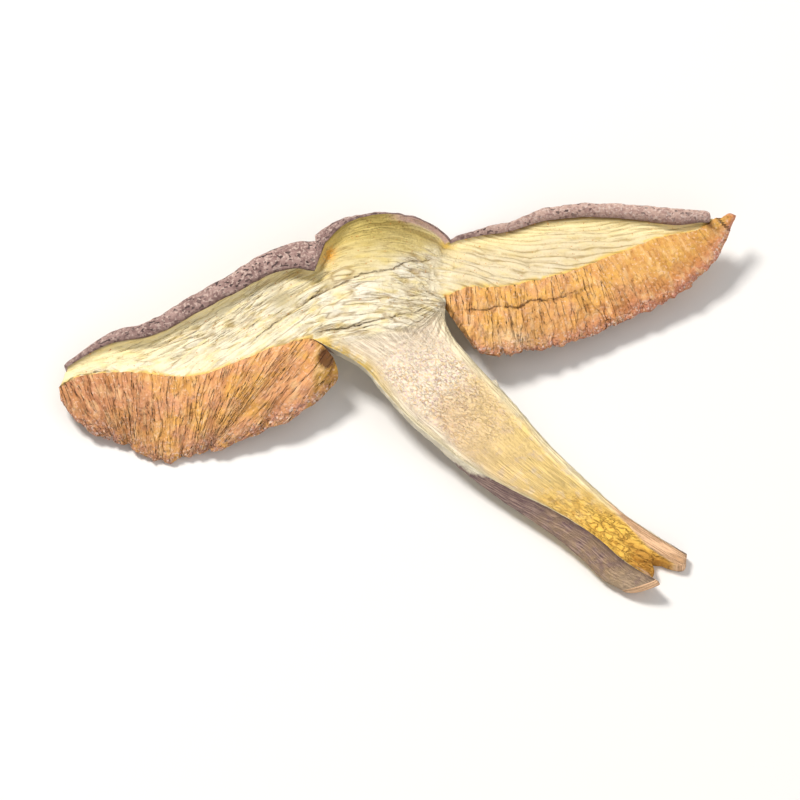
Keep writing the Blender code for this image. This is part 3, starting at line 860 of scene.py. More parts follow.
def flesh_relief(net, flesh, top_map, wrinkles, seed):
    """Height and valleys of the flesh, which shrank into wrinkles and a crumpled stem end."""
    places = as_seen(net.points[flesh])
    x, y = places.T
    large = folds(wrinkles[flesh], *FOLDS, seed)
    fine = folds(wrinkles[flesh], *FINE_FOLDS, seed + 1)
    crumple = folds(wrinkles[flesh], *CRUMPLES, seed + 2, CRUMPLE_TURNED)

    down, across = (values[flesh] for values in stem_shares(net))
    prong = prong_share(down, across)
    on_stem = ramp(down, 0.0, 0.22)
    end = ramp(down, 0.62, 0.86) * ramp(across, 0.05, 0.2)
    end *= (1 - prong) * (1 - 0.7 * ramp(across, 0.75, 0.95))
    # The share of the full height that the wrinkles have here and there
    strength = 1 - smoothness(net, top_map)[flesh]
    strength *= 0.75 + 0.35 * grain(x / 6, y / 6, seed + 12)
    strength *= 1 - 0.35 * (1 - ramp(x, -40, -20))
    strength *= 1 - 0.55 * spot(places, *CALM_JUNCTION)
    strength *= 1 - 0.25 * spot(places, *CALM_CENTRE)
    height = BROAD_HEIGHT * (1 - on_stem) * grain(x / 7, y / 4.5, seed + 13)
    height += (1 - on_stem) * strength * FOLD_HEIGHT * creased(large)
    height += (1 - 0.7 * on_stem) * (0.4 + 0.6 * strength) * FINE_FOLD_HEIGHT * creased(fine)
    height += end * CRUMPLE_HEIGHT * creased(crumple)
    height += PRONG_RAISED * prong
    deep = crease_depth(places, seed + 3)
    height -= deep * MM
    hollow = bell(large, 0.12) + 0.6 * bell(fine, 0.14)
    hollow *= (1 - on_stem) * strength
    hollow += 0.4 * end * bell(crumple, 0.2)
    return height, np.clip(0.55 * hollow + 1.6 * deep, 0, 1)


def tube_relief(net, block, mapped, seed):
    """Height and valleys of a tube layer: bundles of tubes with gaps, and cracks across them."""
    ridge, down = mapped[..., 0], mapped[..., 1]
    share = np.linspace(0, 1, len(block))[:, None]
    drift = ridge + 0.5 * grain(ridge / 3, down / 4, seed + 6)
    bundles = grain(drift / 0.85, down / 7, seed + 7)
    broad = grain(drift / 1.9, down / 12, seed + 8)
    gaps = bell(grain(drift / 1.3, down / 6, seed + 9), 0.25)
    bumps = grain(ridge / 0.5, down / 0.6, seed + 10)
    full = fullness(net.points[block[0]] - net.points[block[-1]])
    to_mouths = ramp(share, 0.7, 1)
    up = (0.5 * bundles + 0.35 * broad - 0.6 * gaps) * (1 - 0.6 * to_mouths)
    up += (0.2 + 0.6 * to_mouths) * bumps
    places = as_seen(net.points[block]).reshape(-1, 2)
    cracks = crease_depth(places, seed + 11).reshape(block.shape)
    inside = ramp(share, 0, 0.12)
    low = np.clip(0.5 * gaps - 0.3 * bundles + 1.8 * cracks, 0, 1)
    return (RIDGE_HEIGHT * up * full - cracks * MM) * inside, low * inside


def relief(net, maps, wrinkles, seed):
    """How far each point of a cut face stands out, and how deep in a valley it is, 0 to 1."""
    out, valley = np.zeros((2, len(net.points)))
    top_map, left_map, right_map, stem_map = maps
    flesh = np.unique(np.concatenate([net.top.ravel(), net.stem.ravel()]))
    out[flesh], valley[flesh] = flesh_relief(net, flesh, top_map, wrinkles, seed)

    along, down = stem_map[1:, :, 0], stem_map[1:, :, 1]
    fibre = grain(along / 0.5, down / 6, seed + 4) + 0.6 * grain(along / 1.1, down / 10, seed + 5)
    fibrous = ramp(np.linspace(0, 1, len(net.stem)), 0.25, 0.6)[1:, None]
    out[net.stem[1:]] += FIBRE_HEIGHT * fibre * fibrous

    for block, mapped in ((net.left, left_map), (net.right, right_map)):
        height, low = tube_relief(net, block, mapped, seed)
        out[block[1:]] = height[1:]
        valley[block[1:]] = low[1:]

    lip = net.top[:LIP_ROWS]
    fade = (np.arange(LIP_ROWS) / LIP_ROWS)[:, None]
    out[lip] *= fade
    valley[lip] *= fade
    return out, valley


def slanted_end(net):
    """How far the underside of the left prong is drawn back, so that its end is cut slanting."""
    rows, columns = net.stem.shape
    near_end = ramp(np.linspace(0, 1, rows), 0.8, 1)[:, None] ** 2
    near_left = np.clip(1 - np.linspace(0, 1, columns) / CURL_WIDTH, 0, 1)
    left_side = net.points[net.stem[:, 0]]
    ahead = unit(left_side[-1] - left_side[rows * 3 // 4])
    return (END_SLANT * near_end * near_left)[..., None] * ahead


def edge_depth(net, edge):
    """How far the closing strip stands out beyond each point of the edge."""
    roundness = np.full(len(net.points), EDGE_ROUNDNESS)
    roundness[net.top[0]] = net.rim_roundness
    depth = roundness * 2 * net.halves
    slit_rows = round(STEM_ROWS * SLIT_LENGTH)
    for tight in (
        net.left[:, -1],
        net.right[:, 0],
        net.stem[:slit_rows, 0],
        net.stem[:slit_rows, -1],
        net.top[LIP_ROWS:, -1],
        net.right[: TUBE_ROWS // 2, -1],
    ):
        depth[tight] = TIGHT_ROUNDNESS
    return depth[edge]


def averaged_along(values, rounds):
    """Values on the edge, averaged with their neighbours but not across the tear."""
    open_chain = np.roll(values, -(LAST_LEFT + 1), axis=0)
    for _ in range(rounds):
        padded = np.concatenate([open_chain[:1], open_chain, open_chain[-1:]])
        open_chain = (padded[:-2] + padded[1:-1] + padded[2:]) / 3
    return np.roll(open_chain, LAST_LEFT + 1, axis=0)


def edge_strips(net, edge, normals, front, back):
    """Rings of points between the two faces along the edge, rounded outwards."""
    line_points = net.points[edge]
    ahead = np.roll(line_points, -1, axis=0) - np.roll(line_points, 1, axis=0)
    ahead[LAST_LEFT] = line_points[LAST_LEFT] - line_points[LAST_LEFT - 1]
    ahead[LAST_LEFT + 1] = line_points[LAST_LEFT + 2] - line_points[LAST_LEFT + 1]
    outward = unit(averaged_along(unit(np.cross(normals[edge], unit(ahead))), EDGE_ROUNDS))
    depth = averaged_along(edge_depth(net, edge), EDGE_ROUNDS)
    saw = np.linspace(1, 0, round(STEM_ROWS * SLIVER_LENGTH))
    first = round(STEM_ROWS * SLIVER_FROM)
    on_edge = np.flatnonzero(np.isin(edge, net.stem[first : first + len(saw), -1]))
    depth[on_edge] += SLIVER * saw
    middle = (front[edge] + back[edge]) / 2
    half = (front[edge] - back[edge]) / 2
    steps = np.linalg.norm(np.diff(line_points, axis=0), axis=1)
    arc = np.concatenate([[0], np.cumsum(steps)]) / MM
    strips = []
    for strip in range(1, EDGE_STRIPS):
        angle = math.pi * strip / EDGE_STRIPS
        wide = strip / EDGE_STRIPS * 2 * net.halves[edge] / MM
        rough = grain(arc / 0.7, wide / 0.7, 41) + 0.7 * grain(arc / 1.8, wide / 1.2, 42)
        stands = depth * math.sin(angle) + SKIN_GRAIN * rough * min(1, 2 * math.sin(angle))
        strips.append(middle + half * math.cos(angle) + outward * stands[:, None])
    return strips, arc


def fan_map(places):
    """Where places as seen are round the fan's centre: degrees, and distance in millimetres."""
    x, y = (places - FAN_CENTRE).T
    return np.stack([np.degrees(np.arctan2(y, x)) % 360, np.hypot(x, y)], axis=1)


def flesh_masks(net, top_map, places, patchy):
    """Masks of the cap's flesh, its skin rim and the creases round the fan's centre."""
    x, y = places.T
    down, across = stem_shares(net)
    from_rim, from_seam = rim_and_seam(net, top_map)
    column = np.arange(net.top.shape[1])
    over_stem = ramp(column, LAST_LEFT, LAST_LEFT + SEAM_ENDS)
    over_stem *= 1 - ramp(column, FIRST_RIGHT - SEAM_ENDS, FIRST_RIGHT)
    from_seam[net.top] += FAR * over_stem

    # Khaki flesh above a slanting line on the hump, and a trace of it under the rim
    above_line = ramp(y - KHAKI_LINE_HEIGHT - KHAKI_LINE_SLOPE * x + 0.5 * patchy, -0.4, 2.4)
    on_hump = above_line * ramp(x, -21, -12) * (1 - ramp(x, 3, 9))
    under_rim = bell(from_rim, 5)
    khaki = on_hump * (0.5 + 0.4 * ramp(y, 22, 28)) + 0.12 * under_rim + 0.08 * patchy
    khaki = np.clip(khaki, 0, 1) * (down == 0)
    khaki *= 1 - 0.8 * ramp(x, 0, 3) * bell(from_rim, 1.6)

    # Gold along both seams, at the notch beside the hump and on the stem's upper left edge
    gold = 0.85 * bell(from_seam, 0.55 + 0.35 * patchy)
    gold += ramp(y, 20, 23) * spot(places, *GOLD_NOTCH)
    upper_left = bell(across, 0.10) * (down > 0)
    gold += 0.9 * upper_left * (1 - ramp(down, 0.12, 0.35))

    # Skin shows from above along the hump's right half; elsewhere a dark line at the rim's foot is painted
    # shadow in the crease under the rim
    hump_columns = np.zeros(len(places))
    hump_columns[net.top[:, LAST_LEFT + 1 : FIRST_RIGHT - 2]] = 1
    shown_skin = ramp(x, -3, 1) * (1 - ramp(from_rim, 0.9, 1.4)) * hump_columns
    crease = bell(from_rim, 0.55) * (x < 50)
    # The creases' fan fades out towards its first and its last one
    turn, reach = fan_map(places).T
    opened = ramp(turn, FAN_FROM + 15, FAN_FROM + 60) * (1 - ramp(turn, FAN_TO + 10, FAN_TO + 40))
    return {
        "khaki": khaki,
        "smooth": smoothness(net, top_map),
        "cord": ramp(x, 9, 20),
        "crease": crease * (1 - shown_skin),
        "shown skin": shown_skin,
        "under rim": under_rim * (1 - crease) * (1 - on_hump),
        "gold": np.clip(gold, 0, 1),
        "shaded": bell(beside_line(places, GROOVE)[0], 0.6),
        "right wing": ramp(x, 4, 12) * (down == 0),
        "left end": 1 - ramp(x, -50, -34),
        "fan": opened * bell(reach, 7.5),
    }


def stem_masks(net, patchy):
    """Masks of the stem, by how far down and across it each point is."""
    down, across = stem_shares(net)
    stem = ramp(down, 0.0, 0.08)
    side = np.minimum(across, 1 - across) + 0.03 * patchy
    prong = prong_share(down, across)
    prong += ramp(down, 0.96, 0.985) * (1 - ramp(across, 0.25, 0.35))
    ochre = ramp(down + 0.05 * patchy, 0.66, 0.88) * (1 - 0.6 * ramp(across, 0.84, 0.94))
    margin = 1 - ramp(side, 0.02, np.where(across < 0.5, 0.07, 0.15))
    fibres = ramp(side, 0.05, 0.16) * (1 - ramp(down + 0.06 * patchy, 0.45, 0.68))
    tanned = ramp(down + 0.03 * patchy, 0.3, 0.44) * (1 - ramp(down, 0.6, 0.78))
    edge_line = bell(across, 0.03) * ramp(down, 0.5, 0.65)
    bare_from = np.where(across < 0.5, 0.42, 0.76)
    return {
        "stem": stem,
        "yellow": ramp(down + 0.25 * (across - 0.5) + 0.05 * patchy, 0.3, 0.75),
        "ochre": np.clip(ochre * (1 - prong), 0, 1),
        "ochre end": ramp(down + 0.02 * patchy, 0.9, 0.985),
        "margin": margin * stem,
        "edge line": edge_line * (1 - ramp(down, 0.95, 0.98)),
        "bare": stem * (1 - ramp(down + 0.03 * patchy, bare_from, bare_from + 0.3)),
        "fibres": fibres * ramp(down + 0.04 * patchy, 0.02, 0.28),
        "tanned": tanned * ramp(side, 0.03, 0.2),
        "prong": np.clip(prong, 0, 1),
    }


def tube_masks(net, places, patchy):
    """Masks of the two tube layers, by how near their mouths or their ends each point is."""
    x, y = places.T
    mouths, blush, inner, right = np.zeros((4, len(places)))
    for block in (net.left, net.right):
        share = np.linspace(0, 1, len(block))[:, None]
        mouths[block] = ramp(share + 0.06 * patchy[block], 0.72, 1)
        blush[block] = ramp(share + 0.08 * patchy[block], 0.4, 0.8)
    # The left tubes' inner end lies beyond a steep line beside the stem
    beyond = x + 13.2 + 0.17 * (10.2 - y) + 0.4 * patchy
    inner[net.left] = ramp(beyond[net.left], -0.4, 0.6)
    right[net.right] = RIGHT_TUBES_STRENGTH
    even = 0.2 * right + 0.5 * ramp(x, 34, 46) + 0.5 * spot(places, *EVEN_TUBES)
    return {
        "mouths": mouths,
        "blush": blush * ramp(x, 20, 38),
        "inner": inner,
        "right": right,
        "even": np.clip(even, 0, 0.75),
    }


def masks(net, top_map):
    """What the materials read at each point of the net: named values, most from 0 to 1."""
    places = as_seen(net.points)
    x, y = places.T
    patchy = grain(x / 4, y / 4, 21) + 0.5 * grain(x / 1.7, y / 1.7, 22)
    return {
        **flesh_masks(net, top_map, places, patchy),
        **stem_masks(net, patchy),
        **tube_masks(net, places, patchy),
        **{name: spot(places, *where) for name, where in SPOTS.items()},
        **line_masks(places),
    }


def slice_faces(net, maps, wrinkles, edge, edge_zones, arc):
    """Both cut faces and the strips between them, with their texture maps and zones."""
    count, around = len(net.points), len(edge)
    mapped = np.vstack([corners(values) for values in maps])
    faces = [net.cells, net.cells[:, TURNED] + count]
    flow = [mapped, mapped[:, TURNED]]
    zones = [net.cell_zones, net.cell_zones]
    between = [2 * count + k * around + np.arange(around) for k in range(EDGE_STRIPS - 1)]
    rings = [edge, *between, edge + count]
    arc_next = np.append(arc[1:], arc[-1] + 0.3)
    wide = 2 * net.halves[edge] / MM / EDGE_STRIPS
    for k, (upper, lower) in enumerate(zip(rings, rings[1:])):
        faces.append(np.stack([upper, np.roll(upper, -1), np.roll(lower, -1), lower], 1))
        near, far = k * wide, (k + 1) * wide
        cell = ((arc, near), (arc_next, near), (arc_next, far), (arc, far))
        flow.append(np.stack([np.stack(corner, 1) for corner in cell], 1))
        zones.append(edge_zones)
    uv_maps = {"Flow": np.vstack(flow)}
    on_edge = np.zeros((EDGE_STRIPS * around, 4, 2))
    for name, values in (("Wrinkles", wrinkles), ("Fan", fan_map(as_seen(net.points)))):
        on_cells = values[net.cells]
        uv_maps[name] = np.vstack([on_cells, on_cells[:, TURNED], on_edge])
    return np.vstack(faces), uv_maps, np.concatenate(zones)


def slice_fields(net, top_map, edge, valleys):
    """The masks at every vertex: the front's, the back's and the strips'."""
    both = {name: (values, values) for name, values in masks(net, top_map).items()}
    both["valley"] = valleys
    fields = {}
    for name, (on_front, on_back) in both.items():
        on_strips = [on_front[edge]] * (EDGE_STRIPS - 1)
        fields[name] = np.concatenate([on_front, on_back, *on_strips])
    # The lower edge: 1 on the front, falling to 0 across the strips; the skin's painted shade and its bare
    # flesh follow it
    lower_edge = np.repeat(np.linspace(1, 0, EDGE_STRIPS + 1)[1:-1], len(edge))
    count = len(net.points)
    fields["lower edge"] = np.concatenate([np.ones(count), np.zeros(count), lower_edge])
    return fields


def slice_mesh():
    """The whole closed surface: points, faces, texture maps, zones and masks."""
    net = Net()
    normals = net.normals()
    maps = flow_maps(net)
    edge, edge_zones = net.edge()
    wrinkles = grain_map(net)
    front_relief, front_valley = relief(net, maps, wrinkles, FRONT_SEED)
    back_relief, back_valley = relief(net, maps, wrinkles, BACK_SEED)
    front = net.points + normals * (net.halves + front_relief)[:, None]
    back = net.points - normals * (net.halves + back_relief)[:, None]
    back[net.stem] -= slanted_end(net)
    strips, arc = edge_strips(net, edge, normals, front, back)
    vertices = np.vstack([front, back, *strips])
    height = vertices[:, 2]
    pressed = (height - FOOT_DEPTH) * FOOT_BLEND / (FOOT_BLEND - FOOT_DEPTH)
    vertices[:, 2] = np.where(height < FOOT_BLEND, np.maximum(pressed, 0), height)
    faces, uv_maps, zones = slice_faces(net, maps, wrinkles, edge, edge_zones, arc)
    fields = slice_fields(net, maps[0], edge, (front_valley, back_valley))
    return vertices, faces, uv_maps, zones, fields


def linear(code):
    """An sRGB hex colour as linear red, green, blue and alpha."""
    parts = [int(code[i : i + 2], 16) / 255 for i in (1, 3, 5)]
    return (*(p / 12.92 if p <= 0.04045 else ((p + 0.055) / 1.055) ** 2.4 for p in parts), 1)


def add(tree, kind, inputs=None, **settings):
    """Add a node, set its settings, and set or link its inputs."""
    made = tree.nodes.new(kind)
    for name, value in settings.items():
        setattr(made, name, value)
    for name, value in (inputs or {}).items():
        if isinstance(value, bpy.types.NodeSocket):
            tree.links.new(value, made.inputs[name])
        else:
            made.inputs[name].default_value = value
    return made


class Finish:
    """A material in the making: its colour so far and its bump so far.

    A factor is a number, a socket or the name of a mask. Sizes and depths are in millimetres.
    """

    def __init__(self, name, colour, roughness, ior):
        self.material = bpy.data.materials.new(name)
        self.material.use_nodes = True
        self.tree = self.material.node_tree
        self.shader = self.tree.nodes["Principled BSDF"]
        self.shader.inputs["Roughness"].default_value = roughness
        self.shader.inputs["IOR"].default_value = ior
        self.places = {"Object": add(self.tree, "ShaderNodeTexCoord").outputs["Object"]}
        for uv_map in ("Flow", "Wrinkles", "Fan"):
            self.places[uv_map] = add(self.tree, "ShaderNodeUVMap", uv_map=uv_map).outputs["UV"]
        self.colour = linear(colour)
        self.normal = None

    def value(self, factor):
        """A mask's socket by its name; anything else as it is."""
        if isinstance(factor, str):
            return add(self.tree, "ShaderNodeAttribute", attribute_name=factor).outputs["Fac"]
        return factor

    def math(self, operation, first, second=0):
        inputs = {0: self.value(first), 1: self.value(second)}
        return add(self.tree, "ShaderNodeMath", inputs, operation=operation).outputs[0]

    def times(self, *factors):
        result = self.value(factors[0])
        for factor in factors[1:]:
            result = self.math("MULTIPLY", result, factor)
        return result

    def outside(self, mask):
        """1 where the mask is 0, falling to none where it is 1."""
        return self.math("SUBTRACT", 1, mask)

    def ranged(self, factor, low, high, first=0, last=1):
        """The value from the first number at low to the last one at high."""
        ends = {"From Min": low, "From Max": high, "To Min": first, "To Max": last}
        return add(self.tree, "ShaderNodeMapRange", {"Value": self.value(factor), **ends}).outputs[0]

    def scaled(self, on, scale):
        """The coordinates of one of the maps, times the scale."""
        inputs = {0: self.places[on], 1: scale}
        return add(self.tree, "ShaderNodeVectorMath", inputs, operation="MULTIPLY").outputs[0]

    def noise(self, sizes, low, high, on="Object", detail=3, wavy=0):
        """Noise from 0 at low to 1 at high, as large as one size, or as two along and across."""
        unit_size = MM if on == "Object" else 1
        first, second = sizes if isinstance(sizes, tuple) else (sizes, sizes)
        scale = [1 / size / unit_size for size in (first, second, first)]
        inputs = {"Vector": self.scaled(on, scale), "Scale": 1, "Detail": detail, "Distortion": wavy}
        return self.ranged(add(self.tree, "ShaderNodeTexNoise", inputs).outputs[0], low, high)

    def folded(self, sizes, on, wavy):
        """Noise that is 0 along lines round patches of these sizes, and grows away from them."""
        plain = self.noise(sizes, 0, 1, on, detail=2, wavy=wavy)
        return self.math("ABSOLUTE", self.math("SUBTRACT", plain, 0.5))

    def bulges(self, sizes, width, on, wavy=0):
        """Round-topped patches as large as the sizes, 0 in the creases between."""
        return self.math("POWER", self.ranged(self.folded(sizes, on, wavy), 0, width), 0.6)

    def lines(self, sizes, width, on, wavy=0):
        """Thin lines round patches as large as the sizes: 1 in their middle."""
        return self.ranged(self.folded(sizes, on, wavy), 0, width, 1, 0)

    def strands(self, size, wavy):
        """Long ridges side by side along the wrinkles, each as wide as the size."""
        scale = WAVE_BAND / size
        vector = self.scaled("Wrinkles", (STRAND_SHORTER * scale, scale, 0))
        inputs = {"Vector": vector, "Scale": 1, "Distortion": wavy, "Detail": 2, "Detail Scale": 1}
        return add(self.tree, "ShaderNodeTexWave", inputs, bands_direction="Y").outputs["Fac"]

    def drawn_line(self, name, wobble=0.25):
        """One of the dark lines: 1 in its middle, uneven and broken here and there."""
        width = DARK_LINES[name][0]
        uneven = self.times(self.math("SUBTRACT", self.noise(0.9, 0, 1), 0.5), 2 * wobble)
        away = self.math("ABSOLUTE", self.math("ADD", name + " offset", uneven))
        drawn = self.ranged(away, 0, width, 1, 0)
        return self.times(drawn, name + " strength", self.noise(1.6, 0.3, 0.5))

    def over(self, colour, *factors):
        """Lay a colour over the colour so far, as strongly as the product of the factors."""
        inputs = {0: self.times(*factors), 6: self.colour, 7: linear(colour)}
        self.colour = add(self.tree, "ShaderNodeMix", inputs, data_type="RGBA").outputs[2]

    def bump(self, depth, *factors):
        """Raise the surface by the depth times the product of the factors."""
        inputs = {"Height": self.times(*factors), "Distance": depth * MM, "Strength": 1}
        if self.normal is not None:
            inputs["Normal"] = self.normal
        self.normal = add(self.tree, "ShaderNodeBump", inputs).outputs[0]

    def done(self):
        self.tree.links.new(self.colour, self.shader.inputs["Base Color"])
        self.tree.links.new(self.normal, self.shader.inputs["Normal"])
        return self.material


def dried_flesh():
    """Air-dried flesh: dull, cream to khaki, crumpled into small bulges the way it shrank, with painted
    light under the rim and painted shade in its creases.
    """
    finish = Finish("dried bolete flesh", "#F3E9CA", 0.8, 1.4)
    finish.over("#FBF6E6", finish.noise(5, 0.4, 0.65), 0.8)
    finish.over("#F0DC94", finish.noise((2.4, 0.8), 0.48, 0.66, "Wrinkles"), 0.65)
    finish.over("#DECBA0", "right wing", 0.6)
    finish.over("#B6AC90", "patch")
    # Painted light: the flesh under the rim is paler and warmer, to lift the shade that the curled lip casts
    # there
    finish.over("#FFEEB4", "under rim", 0.7)
    finish.over("#DAC474", "khaki")
    stem_coats(finish)
    finish.over("#F0C858", "gold", finish.noise(1.2, 0.3, 0.5))
    torn = finish.times("torn", finish.noise(0.5, 0.3, 0.5))
    finish.over("#F4AC34", torn)
    # Painted shadow: a dark olive line in the crease at the rim's foot, darkest under the right cord
    finish.over("#7A6630", "crease", 0.75)
    finish.over("#5C4224", "crease", "cord", 0.95)
    finish.over("#C6A49C", "shown skin", finish.noise(0.8, 0.2, 0.4))
    wrinkle_coats(finish)
    finish.bump(0.3, torn)
    finish.bump(0.07, finish.noise(0.35, 0.3, 0.7))
    return finish.done()


def stem_coats(finish):
    """The cut stem: pinkish white with a fine mesh, yellow to ochre towards its end, with painted shade in
    the ochre's cracks and at its very end.
    """
    finish.over("#FDEED6", "stem", 0.95)
    finish.over("#EACCCA", finish.noise(0.5, 0.53, 0.58), "fibres", 0.7)
    finish.over("#F2C878", finish.noise(0.4, 0.53, 0.58), "fibres", 0.5)
    finish.over("#E2BC8A", "tanned", 0.6)
    mesh = finish.lines((0.65, 0.85), 0.06, "Flow", wavy=0.8)
    pits = finish.times(mesh, "fibres", finish.noise(1.9, 0.25, 0.5))
    finish.over("#A27A68", pits, 0.38)
    finish.over("#FFDF92", "yellow", finish.noise(1.6, 0.25, 0.5))
    finish.over("#FFF2CA", "margin", 0.8)
    finish.over("#FFD062", "ochre")
    # Painted shade: the ochre darkens at the very end, where the crumpled end turns down
    finish.over("#B87C30", "ochre", "ochre end", 0.75)
    cracked = finish.bulges((2.2, 1.8), 0.12, "Flow", wavy=0.6)
    # Painted shade: dark lines in the cracks between the ochre's raised bulges
    finish.over("#A85C14", finish.lines((2.2, 1.8), 0.05, "Flow", wavy=0.6), "ochre", 0.45)
    finish.over("#F3C8A0", "prong")
    streaks = finish.noise((0.28, 6), 0.47, 0.58, "Flow")
    fibres = finish.times(streaks, "stem", finish.outside("fibres"), finish.outside("ochre"))
    finish.over("#B08A58", fibres, 0.3)
    finish.over("#A0704A", fibres, "prong", 0.3)
    finish.over("#FBEBC4", "edge line")
    finish.bump(-0.10, pits)
    finish.bump(0.32, cracked, "ochre")
    finish.bump(-0.12, fibres)


def wrinkle_coats(finish):
    """Fine wrinkles: crumpled on the left wing, wood-like strands on the right, arcs on the hump, with
    painted shade in their creases and grooves.
    """
    cap = finish.outside("stem")
    rough = finish.times(cap, finish.outside("right wing"), finish.outside("smooth"))
    crumpling = finish.times(rough, finish.noise(5, 0.35, 0.55))
    crinkling = finish.times(rough, finish.noise(3.1, 0.36, 0.6))
    creases = finish.lines((8, 1.6), 0.035, "Wrinkles", wavy=0.2)
    crinkles = finish.lines((5, 0.7), 0.05, "Wrinkles", wavy=0.2)
    # Painted shade: dark lines in the creases between the bulges that the bumps below raise
    finish.over("#94723A", creases, crumpling, 0.65)
    finish.over("#A88A4C", crinkles, crinkling, 0.6)
    arcs = finish.times(finish.noise((4, 0.35), 0.42, 0.6, "Flow"), "hump")
    # Painted shade in the shallow grooves of the hump's arcs
    finish.over("#8C7838", arcs, 0.5)

    strands = finish.strands(0.95, 9)
    where = finish.math("ADD", "right wing", finish.times("hump", 0.45))
    graining = finish.times(cap, where, finish.ranged("under rim", 0, 1, 1, 0.5))
    between = finish.ranged(strands, 0, 0.3, 1, 0)
    # Painted shade in the grooves between the raised strands
    finish.over("#957840", between, graining, finish.noise(2.8, 0.3, 0.55), 0.7)

    around = finish.times("fan", finish.outside("fibres"))
    fanned = finish.times(finish.lines((9, 7), 0.05, "Fan"), around)
    # Painted shade in the fan's creases
    finish.over("#9A7440", fanned, 0.5)
    finish.over("#74601F", "shaded", 0.28)
    # Painted shade: the valleys of the wrinkles and the deep creases are darkened
    finish.over("#8A6A30", "valley", cap, 0.5)
    finish.over("#C8803C", finish.noise(0.45, 0.67, 0.71), cap, 0.8)
    finish.over("#6E4A1C", finish.noise(0.5, 0.6, 0.66), "hump", "khaki", 0.6)
    # Painted shade: dark lines along the deepest creases, each dented by bump as well
    for name, strength in (("junction", 0.65), ("bank", 0.65), ("wing", 0.5), ("tip", 0.9)):
        drawn = finish.times(finish.drawn_line(name), cap)
        finish.over("#6E4C20", drawn, strength)
        finish.bump(-0.25, drawn)
    # Painted shade: a dark spot stands in for the small hole at the cord's end
    finish.over("#3C2A1C", "hole", 0.9)
    finish.bump(-0.2, fanned)
    finish.bump(0.15, strands, graining)
    finish.bump(0.22, finish.bulges((8, 1.6), 0.13, "Wrinkles", wavy=0.2), crumpling)
    finish.bump(0.15, finish.bulges((5, 0.7), 0.14, "Wrinkles", wavy=0.2), crinkling)
    finish.bump(-0.14, arcs)


def dried_tubes():
    """The dried tube layer: tan to orange ochre, ridged along the tubes, pinkish at their mouths, with
    painted shade in its grooves and cracks and painted highlights in pale streaks.
    """
    finish = Finish("dried bolete tubes", "#F0AE78", 0.82, 1.4)
    finish.over("#F6BA5C", finish.noise(4.5, 0.45, 0.56), 0.75)
    finish.over("#FCC468", "right", 0.5)
    finish.over("#DCA084", finish.noise(2.6, 0.5, 0.62), 0.45)
    finish.over("#CA8A66", "left end", 0.75)
    finish.over("#D6A850", "even", 0.7)
    finish.over("#E0885A", "blush", 0.6)
    finish.over("#C8844C", finish.noise(0.8, 0.5, 0.6), "even", 0.5)
    # The left tubes' inner end: partly its own olive colour, partly painted shade where its end face turns
    # away
    finish.over("#BE9440", "inner", 0.85)
    finish.over("#D69A84", "mouths", finish.noise(0.9, 0.35, 0.6))
    finish.over("#DC8C78", "mouths", "right", finish.noise(2.5, 0.3, 0.5), 0.6)
    ridges = finish.bulges((1.6, 8), 0.13, "Flow", wavy=0.3)
    combed = finish.noise((1.2, 6), 0.48, 0.6, "Flow", wavy=0.3)
    # Darker streaks along the tubes, dented by the bump below: partly the tubes' own streaky colour, partly
    # painted shade in the dents
    finish.over("#BC783C", combed, 0.36)
    # Painted highlights: pale streaks along the tubes
    finish.over("#FFD8A0", finish.noise((0.9, 2.2), 0.52, 0.66, "Flow", wavy=0.4), 0.45)
    # A lighter patch low on the right tubes
    finish.over("#FCD8A4", "worn", "right", finish.noise(0.7, 0.3, 0.5))
    finish.over("#FFE8DA", "mouths", finish.noise(0.5, 0.56, 0.64), 0.8)
    finish.over("#FFDCC0", finish.noise(0.45, 0.58, 0.66), 0.45)
    # Painted shade: dark lines in the grooves between the ridges, and darkening in the gaps and cracks of
    # the relief's valleys
    grooves = finish.times(finish.lines((1.6, 8), 0.05, "Flow", wavy=0.3), finish.noise(2.2, 0.35, 0.6))
    finish.over("#8E5630", grooves, finish.outside("even"), 0.55)
    finish.over("#7A4A2A", "valley", 0.4, finish.outside("even"))
    split = finish.ranged(finish.times("split", finish.noise(0.5, 0.1, 0.5)), 0.1, 0.4)
    crack = finish.times(finish.drawn_line("crack"), "right")
    # Painted shade: dark in the split beside the stem, in the crack across the right tubes, along the line
    # at the tip and in the hole
    for dark in (split, crack, finish.drawn_line("tip"), "hole"):
        finish.over("#5C3418", dark, 0.9)
    finish.bump(-0.3, crack)
    finish.bump(0.34, ridges, finish.outside("even"))
    finish.bump(-0.2, combed, finish.outside("even"))
    finish.bump(0.22, finish.noise((0.7, 0.9), 0.3, 0.7, "Flow"))
    finish.bump(0.4, "mouths", finish.noise(0.8, 0.35, 0.65))
    return finish.done()


